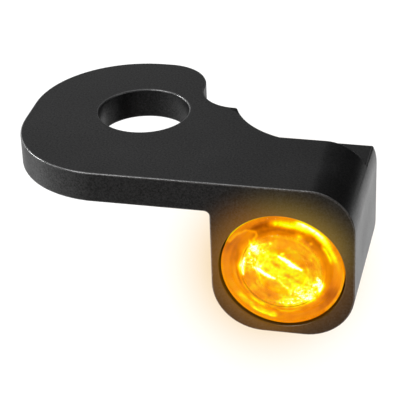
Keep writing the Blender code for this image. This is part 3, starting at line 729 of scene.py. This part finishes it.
def light_level(x, z):
    """0 dark amber, 0.45 orange, 0.75 yellow, 1 white-hot."""
    # wandering from broad to fine, and a flow that runs round the axis
    broad = wander(x, z, scale=0.55, seed=3.1)
    medium = wander(x, z, scale=1.7, seed=9.4)
    fine = wander(x, z, scale=3.3, seed=21.7)
    finest = wander(x, z, scale=5.2, seed=33.9, octaves=2)
    angle = np.arctan2(z, x)
    flow = wander(np.hypot(x, z) * 2.6, np.cos(angle) * 2.2 + np.sin(angle) * 0.7,
                  scale=1.0, seed=14.2)
    # the general level, then the pools of the ring and of the inner disc
    h = 0.335 + 0.08 * broad + 0.06 * medium + 0.09 * flow
    h = add_pools(h, x, z, RING_POOLS)
    disc_radius, disc_drop, disc_edge = 4.86, 0.26, 0.12
    disc = np.clip((disc_radius - np.hypot(x, z + disc_drop)) / disc_edge, 0, 1)
    h += disc * 0.13
    h += disc * (0.10 * medium + 0.08 * finest)
    h = add_pools(h, x, z, DISC_POOLS, disc)
    # the hot band, mottled at its edge and within
    hot = np.maximum.reduce([blob(x, z, *args) for args in HOT_BAND])
    hot = np.clip(hot + 0.16 * medium * hot + 0.10 * fine * hot, 0, 1)
    hot_level = 0.800 + 0.065 * medium + 0.05 * broad + 0.06 * fine + 0.10 * finest
    h = h + (hot_level - h) * hot
    h = add_pools(h, x, z, HOT_GAPS)
    h += (0.04 + 0.05 * disc) * fine * np.clip(1.2 - hot, 0, 1)
    # marks and lines, their strength wandering a little
    for amount, shape, *args in WHITE_MARKS:
        h = brighten(h, WHITE_HOT, shape(x, z, *args) * amount * (0.95 + 0.35 * fine))
    gain = 0.95 + 0.25 * fine
    h = draw_lines(h, x, z, FINE_LINES, gain)
    h = draw_rays(h, x, z, gain)
    h = draw_lines(h, x, z, RING_GLOW_AND_REFLECTION, gain)
    h = draw_lines(h, x, z, [MOTTLED_WIDE], (0.75 + 0.5 * medium) * gain)
    h = draw_lines(h, x, z, [MOTTLED_NARROW], (0.85 + 0.4 * fine) * gain)
    h = draw_lines(h, x, z, LAST_LINES, gain)
    return np.clip(h, 0.0, 1.0)


PLANE_DEPTH = 0.5                  # depth of the plane of light
PARALLAX = (0.249, 0.606)          # shift in x and z on that plane per mm of depth beyond it


def paint_glow(ob, follow=1.0, offset=0.0, edge=None):
    """Stores the light level at each vertex, read where it shows from the camera's side."""
    me = ob.data
    co = np.zeros(len(me.vertices) * 3, np.float32)
    me.vertices.foreach_get("co", co)
    co = co.reshape(-1, 3).astype(float)
    x, z = (co[:, 0] - AXIS_X) / MM, (co[:, 2] - AXIS_Z) / MM
    beyond = follow * ((co[:, 1] - FRONT) / MM - PLANE_DEPTH)
    h = light_level(x + PARALLAX[0] * beyond, z + PARALLAX[1] * beyond) + offset
    if edge is not None:
        h = edge(x, z, h)
    glow = me.attributes.new("glow", "FLOAT", "POINT")
    glow.data.foreach_set("value", h.astype(np.float32))


# ------------------------------------------------------------ lens
CROWN_R = 6.42                     # radius of the domed front
CROWN_EDGE = 0.05                  # depth of the dome's edge
LENS_WALL = 0.5                    # thickness at the middle
LENS_BORE_R = 4.65                 # radius of the hollow behind
LENS_R = CUP_R - 0.01


def rim_glow(x, z, h):
    """The thin edge of the lens: brightest at the upper left, dim at the lower right."""
    angle = np.degrees(np.arctan2(z, x))
    up_left = np.clip(1 - np.abs((angle - 140 + 180) % 360 - 180) / 60, 0, 1)
    low_right = np.clip(1 - np.abs((angle + 35 + 180) % 360 - 180) / 70, 0, 1)
    rim = np.clip(0.40 + 0.26 * up_left ** 0.7 - 0.18 * low_right, 0, 1)
    return np.where(np.hypot(x, z) > 6.8, rim, h)


def lens_profile():
    front = depth_range("lens_cover")[0]

    def crown(radius):
        return CROWN_EDGE + (front - CROWN_EDGE) * (1.0 - (radius / CROWN_R) ** 2)

    rows = [(CROWN_R * i / 40, crown(CROWN_R * i / 40)) for i in range(41)]
    # rounded front edge and the straight rim
    rows += [(6.52, 0.075), (6.62, 0.115), (6.70, 0.17), (6.77, 0.245), (6.82, 0.33),
             (LENS_R, 0.44)]
    rows += [(LENS_R, depth) for depth in (0.55, 0.7, 0.85, 1.0, 1.15, 1.25)]
    # back step, back rib, the cone inwards and the hollow's wall
    rows += even_rows((6.8, 1.25), (6.0, 1.25), 8) + [(5.97, 1.5), (5.95, 1.9)]
    rows += even_rows((5.9, 1.9), (5.45, 1.9), 5)
    rows += even_rows((5.34, 1.782), (4.70, 0.998), 8)
    rows += [(4.67, 0.88), (4.66, 0.6), (LENS_BORE_R, 0.34)]
    for i in range(1, 25):
        radius = LENS_BORE_R * (1 - i / 24)
        rows.append((radius, crown(radius) + LENS_WALL))
    return rows


def build_lens():
    bm = lathe(lens_profile(), 240, closed=False)
    for face in bm.faces:
        c = face.calc_center_median()
        radius = math.hypot(c.x - AXIS_X, c.z - AXIS_Z) / MM
        depth = (c.y - FRONT) / MM
        front_edge = radius > 6.6 and depth < 0.46
        face.material_index = 1 if radius > 4.63 and depth > 0.30 and not front_edge else 0
    edge = lit("lens_edge_light", scale=700.0, rough=0.25, wander=0.05)
    lens = piece("lens_cover_lit", bm, [lens_glass(), edge], "lamp",
                 "lens_cover", sharp=40)
    paint_glow(lens, follow=0.8, edge=rim_glow)


# ------------------------------------------------------------ projector dome
DOME_R = outer_radius("projector_dome")
DOME_FOOT = 0.9                    # depth where the dome meets its straight side
DOME_GROOVES = [(0.035, 2.05, 0.07), (0.03, 1.25, 0.06)]     # depth, radius, half width


def build_dome():
    front, back = depth_range("projector_dome")
    rows = []
    for i in range(61):
        angle = math.pi / 2 * i / 60
        radius = DOME_R * math.sin(angle)
        groove = sum(deep * math.exp(-((radius - at) / wide) ** 2)
                     for deep, at, wide in DOME_GROOVES)
        rows.append((radius, front + (DOME_FOOT - front) * (1 - math.cos(angle)) + groove))
    rows += even_rows((DOME_R, DOME_FOOT), (DOME_R, 3.9), 10)[1:]
    rows += [(DOME_R, back), (0, back)]
    light = lit("dome_light", scale=1600.0, rough=0.06, wander=0.07, glints=0.05)
    dome = piece("projector_dome_lit", lathe(rows, 200, closed=False), [light], "lamp",
                 "projector_dome", sharp=35)
    paint_glow(dome)


# ------------------------------------------------------------ crystal optic
# A crinkled ring round the dome with a serrated rim and a fluted side.
OPTIC_IN = DOME_R + 0.15
OPTIC_OUT = outer_radius("crystal_optic")
OPTIC_FRONT, OPTIC_BACK = depth_range("crystal_optic")
OPTIC_RIM_DEPTH = 0.5
TEETH = 84
INNER_POINTS = 150
POINT_GAP = 0.145                  # spacing of the crinkles along a ring
RING_GAP = 0.125                   # spacing of the rings
SIDE_DEPTHS = [0.9, 1.3, 1.8, 2.4, 3.0, 3.6, OPTIC_BACK]


def serration(angle):
    """Radius of the serrated rim; each tooth has its own height."""
    turn = angle / (2 * math.pi) * TEETH
    tooth = int(turn) % TEETH
    height = 0.10 + 0.07 * noise.noise(Vector((tooth * 1.7, 0.3, 5.5)))
    return OPTIC_OUT - height * (1 - abs(2 * (turn % 1.0) - 1))


def polar(radius, angle):
    return (radius * math.cos(angle), radius * math.sin(angle))


def optic_plan():
    """Vertices and triangles of the crinkled face, in x and z."""
    rim_points = TEETH * 4
    points = []
    for k in range(rim_points):
        angle = 2 * math.pi * k / rim_points
        points.append(polar(serration(angle), angle))
    for k in range(INNER_POINTS):
        points.append(polar(OPTIC_IN, 2 * math.pi * k / INNER_POINTS))
    radius = OPTIC_IN + 0.10
    while radius < OPTIC_OUT - 0.17:
        count = int(2 * math.pi * radius / POINT_GAP)
        for k in range(count):
            angle = 2 * math.pi * (k + rng.uniform(-0.38, 0.38)) / count + radius * 7
            points.append(polar(radius + rng.uniform(-0.05, 0.05), angle))
        radius += RING_GAP
    edges = [(k, (k + 1) % rim_points) for k in range(rim_points)]
    edges += [(rim_points + k, rim_points + (k + 1) % INNER_POINTS)
              for k in range(INNER_POINTS)]
    return delaunay_2d_cdt([Vector(point) for point in points], edges, [], 0, 1e-6)[0:3:2]


def optic_face(bm):
    plan, triangles = optic_plan()
    verts = []
    for v in plan:
        radius = math.hypot(v.x, v.y)
        lift = 0.0
        if not (radius < OPTIC_IN + 0.02 or radius > OPTIC_OUT - 0.22):
            swell = 0.05 * noise.noise(Vector((v.x * 1.3, v.y * 1.3, 2.0)))
            lift = 0.05 + rng.uniform(-0.05, 0.06) + swell
        slope = (OPTIC_RIM_DEPTH - OPTIC_FRONT) * (radius - OPTIC_IN) / (OPTIC_OUT - OPTIC_IN)
        verts.append(bm.verts.new(lamp_point(v.x, v.y, OPTIC_FRONT + slope + lift)))
    for triangle in triangles:
        x = sum(plan[i].x for i in triangle) / 3
        z = sum(plan[i].y for i in triangle) / 3
        radius = math.hypot(x, z)
        rim = serration(math.atan2(z, x) % (2 * math.pi))
        if OPTIC_IN - 0.001 <= radius <= rim + 0.004:
            bm.faces.new([verts[i] for i in triangle])
    bmesh.ops.delete(bm, geom=[v for v in bm.verts if not v.link_faces], context="VERTS")


def build_optic():
    bm = bmesh.new()
    optic_face(bm)
    # both rims are drawn back in steps and joined at the back
    current = [edge for edge in bm.edges if len(edge.link_faces) == 1]
    for depth in SIDE_DEPTHS:
        drawn = bmesh.ops.extrude_edge_only(bm, edges=current)["geom"]
        for item in drawn:
            if isinstance(item, bmesh.types.BMVert):
                item.co.y = FRONT + depth * MM
        current = [item for item in drawn if isinstance(item, bmesh.types.BMEdge)]
    low = {v for v in bm.verts if abs(v.co.y - (FRONT + OPTIC_BACK * MM)) < 1e-7}
    open_edges = [edge for edge in bm.edges if edge.verts[0] in low and edge.verts[1] in low
                  and len(edge.link_faces) == 1]
    bmesh.ops.bridge_loops(bm, edges=open_edges)
    bmesh.ops.recalc_face_normals(bm, faces=bm.faces)
    light = lit("crystal_light", scale=2300.0, rough=0.08, facets=0.24, glints=0.10)
    optic = piece("crystal_optic_lit", bm, [light], "lamp", "crystal_optic",
                  flat=True)
    paint_glow(optic)
    facet = optic.data.attributes.new("facet", "FLOAT", "FACE")
    levels = [rng.uniform(-1, 1) for _ in optic.data.polygons]
    facet.data.foreach_set("value", np.array(levels, np.float32))


# ------------------------------------------------------------ reflector bowl
def build_bowl():
    front, back = depth_range("reflector_bowl")
    radius = outer_radius("reflector_bowl")
    floor_front = back - 0.35
    rows = [(radius, front)] + even_rows((radius, front + 0.4), (5.02, back), 6)
    rows += [(4.2, back), (3.2, back), (2.1, back)]
    rows += [(2.1, floor_front), (3.2, floor_front), (4.2, floor_front)]
    rows += even_rows((4.7, floor_front), (5.72, front), 14)
    bowl = piece("reflector_bowl_lit", lathe(rows, 160),
                 [lit("bowl_light", scale=900.0, rough=0.08, wander=0.06)], "lamp",
                 "reflector_bowl", sharp=35)
    paint_glow(bowl, follow=0.4, offset=-0.08)


# ------------------------------------------------------------ lamp cup with its hollow stud
CUP_FRONT, CUP_END = depth_range("lamp_cup")
PITCH = 1.0
THREAD_FADE = 0.5                  # length over which the thread runs out


def thread_rows(major, height, start, end):
    """Rows of a 60 degree thread, running out at both ends; a height of 0 is a plain wall."""
    rows = []
    count = int(round((end - start) / (PITCH / 14)))
    for i in range(count + 1):
        depth = start + (end - start) * i / count
        run_out = min((depth - start) / THREAD_FADE, (end - depth) / THREAD_FADE)
        here = height * min(1.0, max(0.0, run_out))

        def radius(angle, depth=depth, here=here):
            t = (depth / PITCH - angle / (2 * math.pi)) % 1.0
            flank = min(1.0, max(0.0, (abs(2 * t - 1) - 0.12) / 0.70))
            return major - here * flank
        rows.append((radius, depth))
    return rows


def build_cup():
    # outer wall with its O-ring groove, then the back and the neck of the stud
    profile = [(CUP_R, CUP_FRONT + 0.1), (CUP_R, 8.9), (6.25, 8.9), (6.25, 10.0), (CUP_R, 10.0),
               (CUP_R, 10.65), (CUP_R - 0.25, 10.9), (3.12, 10.9), (3.0, 11.05), (3.0, 14.4)]
    profile += thread_rows(2.99, 0.42, 14.5, CUP_END - 0.15)
    # the stud's end, its bore, and the cup's stepped inside
    profile += [(2.72, CUP_END - 0.1), (2.62, CUP_END), (2.15, CUP_END), (2.05, CUP_END - 0.1),
                (2.05, 9.9), (5.6, 9.9), (5.6, 8.3), (6.2, 8.3), (6.2, CUP_FRONT),
                (CUP_R - 0.1, CUP_FRONT)]
    metal = turned_metal("cup_metal", (0.20, 0.20, 0.205), rough=0.34, pitch=0.00012,
                         strength=0.25)
    piece("lamp_cup_turned", lathe(profile, 144), [metal], "lamp",
          "lamp_cup", sharp=38)


# ------------------------------------------------------------ spring washer and jam nut
def build_washer(zinc):
    front, back = depth_range("lock_washer")
    radius = outer_radius("lock_washer")
    section = fillet([(radius, front + 0.06), (radius, back - 0.06), (3.15, back - 0.06),
                      (3.15, front + 0.06)], {0: 0.08, 1: 0.08, 2: 0.06, 3: 0.06}, 3)

    def rising(depth):
        return lambda angle: depth + 0.05 * ((angle - math.pi) / math.pi)

    bm = lathe([(r, rising(depth)) for r, depth in section], 150,
               arc=(math.radians(5), math.radians(352)))
    piece("lock_washer_split", bm, [zinc], "washer", "lock_washer", sharp=40)


# distances from either end of the nut at which its chamfered hexagon is cut
NUT_STEPS = [0.0, 0.04, 0.09, 0.15, 0.22, 0.3, 0.38, 0.46, 0.55, 0.65, 0.8]


def build_nut(zinc):
    front, back = depth_range("stud_nut")
    lo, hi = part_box("stud_nut")
    half_flats = (hi.x - lo.x) / MM / 2

    def hexagon(depth):
        limit = half_flats - 0.2 + min(depth - front, back - depth) * 1.75

        def radius(angle):
            from_flat = ((math.degrees(angle) + 30.0) % 60.0) - 30.0
            return min(half_flats / math.cos(math.radians(from_flat)) - 0.03, limit)
        return radius, depth

    depths = [front + step for step in NUT_STEPS] + [(front + back) / 2]
    depths += [back - step for step in reversed(NUT_STEPS)]
    rows = [hexagon(depth) for depth in depths] + [(3.35, back)]
    rows += reversed(thread_rows(3.04, 0.0, front + 0.2, back - 0.2))
    rows.append((3.35, front))
    piece("stud_nut_hex", lathe(rows, 192), [zinc], "nut", "stud_nut", sharp=24)


# ------------------------------------------------------------ grommet in the stud's end
def build_grommet(rubber):
    end = depth_range("stud_grommet")[1]
    rows = fillet([(2.78, CUP_END + 0.1), (2.86, CUP_END + 0.45), (2.6, end - 0.25), (2.35, end),
                   (1.66, end), (1.66, CUP_END - 2.2), (1.94, CUP_END - 2.2),
                   (1.94, CUP_END + 0.1)], {0: 0.12, 1: 0.25, 2: 0.3, 3: 0.15, 4: 0.1}, 4)
    piece("stud_grommet_moulded", lathe(rows, 96), [rubber], "lamp",
          "stud_grommet", sharp=40)


# ------------------------------------------------------------ cable, wires, terminals (mm)
BACKWARD = Vector((0, 1, 0))
DROP = Vector((-0.5, 0.0, -math.sqrt(0.75)))       # down and inboard
SIDE = Vector((math.sqrt(0.75), 0.0, -0.5))        # across the two wires
FRONT_MM = FRONT / MM
BEND_Y = 17.6
BEND_R = 4.4
BEND_START = Vector((AXIS_X / MM, BEND_Y, AXIS_Z / MM))
BEND_END = BEND_START + BACKWARD * BEND_R + DROP * BEND_R
TAIL = 5.0                         # straight length below the bend
WIRE_GAP = 0.58                    # each wire's distance from the cable's middle
SPREAD = 1.75                      # the same at the terminals


def cable_path(start_y, offset, spread=None):
    """Straight back, round the bend, down the tail; spread fans a wire out beyond it."""
    out = []
    count = max(6, int((BEND_Y - start_y) * 3))
    for i in range(count):
        y = start_y + (BEND_Y - start_y) * i / count
        out.append(Vector((BEND_START.x, y, BEND_START.z)) + SIDE * offset)
    for i in range(29):
        angle = math.pi / 2 * i / 28
        out.append(BEND_START + BACKWARD * (BEND_R * math.sin(angle))
                   + DROP * (BEND_R * (1 - math.cos(angle))) + SIDE * offset)
    for i in range(1, 15):
        out.append(BEND_END + DROP * (TAIL * i / 14) + SIDE * offset)
    if spread is not None:
        end = BEND_END + DROP * TAIL
        for i in range(1, 25):
            t = i / 24.0
            ease = t * t * (3 - 2 * t)
            out.append(end + DROP * (0.4 + 3.2 * t) + SIDE * (offset + (spread - offset) * ease))
        out.append(end + DROP * 4.55 + SIDE * spread)
    return out


def tube(path, outer, inner=0.0, segments=40):
    """A round sweep; hollow if inner is given. Rings turn with the path without twisting."""
    bm = bmesh.new()
    u = SIDE
    outer_rings, inner_rings = [], []
    for i, point in enumerate(path):
        ahead = (path[min(i + 1, len(path) - 1)] - path[max(i - 1, 0)]).normalized()
        u = (u - ahead * u.dot(ahead)).normalized()
        v = ahead.cross(u)
        outer_ring, inner_ring = [], []
        for k in range(segments):
            angle = 2 * math.pi * k / segments
            spoke = u * math.cos(angle) + v * math.sin(angle)
            outer_ring.append(bm.verts.new((point + spoke * outer) * MM))
            if inner:
                inner_ring.append(bm.verts.new((point + spoke * inner) * MM))
        outer_rings.append(outer_ring)
        inner_rings.append(inner_ring)

    def join(a, b):
        for k in range(len(a)):
            k2 = (k + 1) % len(a)
            bm.faces.new((a[k], a[k2], b[k2], b[k]))

    for rings in (outer_rings, inner_rings):
        for a, b in zip(rings, rings[1:]):
            join(a, b)
    for end in (0, -1):
        if inner:
            join(outer_rings[end], inner_rings[end])
        else:
            bm.faces.new(outer_rings[end])
    bmesh.ops.recalc_face_normals(bm, faces=bm.faces)
    return bm


def build_wire(sign, tag, insulation, brass, vinyl):
    """One wire with its bullet terminal and clear sleeve; sign is its side of the cable."""
    path = cable_path(FRONT_MM + 6.4, sign * WIRE_GAP, sign * SPREAD)
    piece("wire_" + tag + "_round", tube(path, 0.47, segments=28), [insulation], "bracket",
          "wire_" + tag, sharp=50)
    place = axis_frame(BEND_END + DROP * (TAIL + 4.6) + SIDE * (sign * SPREAD), DROP, SIDE)
    rows = fillet([(0, 0.15), (0.70, 0.15), (0.70, 2.6), (0.5, 2.78), (0.5, 3.0), (0.88, 3.22),
                   (0.88, 4.85), (0.62, 5.35), (0.3, 5.52), (0, 5.53)],
                  {1: 0.08, 2: 0.1, 3: 0.08, 4: 0.08, 5: 0.12, 6: 0.2, 7: 0.2, 8: 0.15}, 4)
    piece("terminal_" + tag + "_bullet", lathe(rows, 64, place, closed=False), [brass],
          "bracket", "terminal_" + tag, sharp=45)
    rows = fillet([(1.17, -1.6), (1.25, -1.45), (1.25, 2.15), (1.12, 2.4), (0.87, 2.4),
                   (0.87, 0.0), (0.63, -0.22), (0.63, -1.6)],
                  {0: 0.05, 1: 0.08, 2: 0.12, 3: 0.1, 4: 0.05}, 4)
    piece("terminal_sleeve_" + tag + "_clear", lathe(rows, 64, place), [vinyl], "bracket",
          "terminal_sleeve_" + tag, sharp=45)


def build_cable():
    pvc = grained("pvc_black", (0.022, 0.022, 0.023), rough=0.42, scale=1800.0, vary=0.3,
                  bump=0.10)
    bm = tube(cable_path(FRONT_MM + 12.0, 0.0), 1.53, 1.22, segments=48)
    piece("cable_sheath_round", bm, [pvc], "bracket", "cable_sheath", sharp=50)
    red = grained("wire_red", (0.42, 0.022, 0.016), rough=0.38, scale=2400.0, vary=0.12,
                  bump=0.05)
    black = grained("wire_black", (0.026, 0.026, 0.027), rough=0.38, scale=2400.0, vary=0.25,
                    bump=0.05)
    brass = grained("brass_tinned", (0.74, 0.55, 0.27), rough=0.26, metal=1.0, scale=1900.0,
                    vary=0.12, bump=0.10)
    vinyl = grained("vinyl_clear", (0.80, 0.80, 0.82), rough=0.22, scale=900.0, vary=0.03,
                    bump=0.03, Transmission_Weight=0.8, IOR=1.35)
    build_wire(-1.0, "live", red, brass, vinyl)
    build_wire(1.0, "earth", black, brass, vinyl)


# ------------------------------------------------------------ hidden parts keep their solids
def finish_hidden_parts(rubber):
    silicone = grained("silicone_seal", (0.045, 0.045, 0.05), rough=0.7, scale=2200.0)
    mask = board()
    ceramic = grained("ceramic_black", (0.06, 0.06, 0.065), rough=0.35, scale=4000.0)
    epoxy = grained("epoxy_black", (0.025, 0.025, 0.026), rough=0.55, scale=5000.0, bump=0.15)
    potting = grained("potting_black", (0.03, 0.03, 0.033), rough=0.22, scale=700.0, bump=0.05)
    lit_chip = led()
    finishes = {
        "lens_seal_ring": silicone,
        "bore_o_ring": rubber,
        "led_board": mask,
        "series_resistor_left": ceramic,
        "polarity_diode": epoxy,
        "potting_plug": potting,
        "series_resistor_right": ceramic,
        "driver_chip": epoxy,
        "led_chip_left": lit_chip,
        "led_chip_centre": lit_chip,
        "led_chip_right": lit_chip,
    }
    for name, mat in finishes.items():
        set_mat(NODES[name], mat)
        cad_smooth(NODES[name], 40)
    for name in NODES:
        if NODES[name].hide_render:
            set_mat(NODES[name], silicone)


# ------------------------------------------------------------ floor and world
FLOOR_DROP = 0.030                 # gap between the part and the floor
FLOOR_GLOSS = 0.76                 # strength of the floor as seen in reflections
HALO_R = 8.2                       # mm, how fast the lamp's halo fades
WORLD_DIM = 0.035                  # what the object sees of the room; the camera sees it pale


def floor_card(g, position, distance):
    """In reflections the floor is a pale card, brighter to the left and outboard behind."""
    card = g.mul(g.smooth(distance, over=(0.14, 0.34), to=(1.0, 0.06)),
                 g.smooth(position["X"], over=(-0.02, -0.09),
                          to=(FLOOR_GLOSS, FLOOR_GLOSS * 2.4)))
    behind = g.smooth(position["Y"], over=(0.01, 0.04))
    outboard = g.sub(g.smooth(position["X"], over=(0.012, 0.045), to=(0.55, 2.1)), 1.0)
    card = g.mul(card, g.add(g.mul(outboard, behind), 1.0))
    return g.node("Emission", {"Color": (0.9, 0.9, 0.9), "Strength": card})


def floor_halo(g, geometry):
    """Tint of the lamp's halo, close to the line of sight to the lit lamp."""
    lamp = tuple(lamp_point(-1.2, 1.2, 0))
    to_lamp = g.vector("SUBTRACT", lamp, geometry["Position"])
    gap = g.vector("LENGTH", g.vector("CROSS_PRODUCT", to_lamp, geometry["Incoming"]))
    spread = g.math("POWER", g.mul(gap, 1000.0 / HALO_R), 2.0)
    halo = g.math("EXPONENT", g.mul(spread, -1.0))
    # only for views from in front and above
    incoming = g.split(geometry["Incoming"])
    halo = g.mul(g.mul(halo, g.smooth(incoming["Y"], over=(-0.3, -0.7))),
                 g.smooth(incoming["Z"], over=(0.15, 0.35)))
    return g.mix(g.math("MINIMUM", halo, 1.0), (1.0, 1.0, 1.0), (0.68, 0.38, 0.0))


def floor_material():
    g = Graph("pale_floor")
    ray = g.node("LightPath").outputs
    geometry = g.node("NewGeometry").outputs
    position = g.split(geometry["Position"])
    distance = g.math("SQRT", g.add(g.mul(position["X"], position["X"]),
                                    g.mul(position["Y"], position["Y"])))
    card = floor_card(g, position, distance)
    tint = floor_halo(g, geometry)
    near = g.principled(Base_Color=g.vector("MULTIPLY", tint, (0.88, 0.88, 0.877)),
                        Roughness=0.9, Specular_IOR_Level=0.1)
    # far away the floor runs into the pale backdrop
    far = g.node("Emission", {"Color": tint, "Strength": 1.07})
    far_share = g.mul(ray["Is Camera Ray"],
                      g.smooth(distance, over=(0.10, 0.30), to=(0.88, 1.0)))
    seen = g.node("MixShader", {0: far_share, 1: near.outputs[0], 2: far.outputs[0]})
    return g.done(g.node("MixShader", {0: ray["Is Glossy Ray"], 1: seen.outputs[0],
                                       2: card.outputs[0]}))


def build_floor():
    me = bpy.data.meshes.new("floor")
    bm = bmesh.new()
    bmesh.ops.create_grid(bm, x_segments=2, y_segments=2, size=4.0)
    bm.to_mesh(me)
    bm.free()
    floor = bpy.data.objects.new("floor", me)
    SCENE.collection.objects.link(floor)
    floor.location = (0, 0, CAD_LO.z - FLOOR_DROP)
    me.materials.append(floor_material())


def build_world():
    world = bpy.data.worlds.new("studio")
    SCENE.world = world
    world.use_nodes = True
    tree = world.node_tree
    background = tree.nodes["Background"]
    ray = tree.nodes.new("ShaderNodeLightPath")
    strength = tree.nodes.new("ShaderNodeMix")
    strength.data_type = "FLOAT"
    strength.inputs[2].default_value = WORLD_DIM
    strength.inputs[3].default_value = 1.0
    tree.links.new(ray.outputs["Is Camera Ray"], strength.inputs[0])
    tree.links.new(strength.outputs[0], background.inputs[1])
    background.inputs[0].default_value = (1.0, 1.0, 1.0, 1.0)


# ------------------------------------------------------------ lights and camera
LIT_CENTRE = Vector((0.007, 0.0, -0.009))
SOFTBOXES = [                      # name, place from the lit centre, size, power in watts
    ("key_softbox", (-0.17, -0.15, 0.33), 0.20, 2.0),
    ("left_softbox", (-0.44, 0.05, 0.22), 0.16, 3.3),
    ("back_softbox", (-0.34, 0.67, 0.43), 0.56, 0.42),
    ("right_softbox", (0.52, -0.14, 0.24), 0.30, 0.55),
    ("rear_softbox", (-0.52, 0.40, 0.09), 0.30, 0.55),
    ("overhead_softbox", (0.0, 0.15, 0.9), 1.1, 4.0),
]


def area_light(name, at, target, size, power, colour=(1, 1, 1)):
    light = bpy.data.lights.new(name, "AREA")
    light.energy = power
    light.color = colour
    light.size = size
    ob = bpy.data.objects.new(name, light)
    ob.location = at
    ob.rotation_euler = (Vector(target) - Vector(at)).to_track_quat("-Z", "Y").to_euler()
    ob.visible_camera = False
    SCENE.collection.objects.link(ob)
    return ob


def build_lights():
    for name, offset, size, power in SOFTBOXES:
        area_light(name, LIT_CENTRE + Vector(offset), LIT_CENTRE, size, power)
    glow = area_light("lamp_spill", lamp_point(-0.5, 0.5, -26.0), lamp_point(0, 0, 0),
                      size=0.012, power=0.003, colour=(1.0, 0.46, 0.08))
    glow.visible_glossy = False


AZIMUTH = math.radians(13.98)      # outboard of straight in front
ELEVATION = math.radians(30.48)
ROLL = math.radians(-2.28)
CAMERA_TARGET = Vector((8.27, -0.56, -6.57)) * MM
CAMERA_DISTANCE = 196.496 * MM


def build_camera():
    data = bpy.data.cameras.new("camera")
    camera = bpy.data.objects.new("camera", data)
    SCENE.collection.objects.link(camera)
    SCENE.camera = camera
    back = Vector((math.sin(AZIMUTH) * math.cos(ELEVATION),
                   -math.cos(AZIMUTH) * math.cos(ELEVATION), math.sin(ELEVATION)))
    right = Vector((math.cos(AZIMUTH), math.sin(AZIMUTH), 0.0))
    up = back.cross(right)
    camera_x = right * math.cos(ROLL) + up * math.sin(ROLL)
    camera_y = -right * math.sin(ROLL) + up * math.cos(ROLL)
    matrix = Matrix((camera_x, camera_y, back)).transposed().to_4x4()
    matrix.translation = CAMERA_TARGET + back * CAMERA_DISTANCE
    camera.matrix_world = matrix
    data.lens = 156.85
    data.sensor_width = 36.0
    data.clip_start = 0.01
    data.clip_end = 50.0


# ------------------------------------------------------------ build
finish_bracket()
build_lens()
build_dome()
build_optic()
build_bowl()
build_cup()
zinc_plate = turned_metal("zinc_plate", (0.62, 0.63, 0.66), rough=0.30, pitch=0.00016,
                          strength=0.22)
build_washer(zinc_plate)
build_nut(zinc_plate)
black_rubber = grained("rubber_black", (0.018, 0.018, 0.019), rough=0.62, scale=2600.0,
                       vary=0.3, bump=0.12)
build_grommet(black_rubber)
build_cable()
finish_hidden_parts(black_rubber)
build_floor()
build_world()
build_lights()
build_camera()
SCENE.view_settings.view_transform = "Standard"
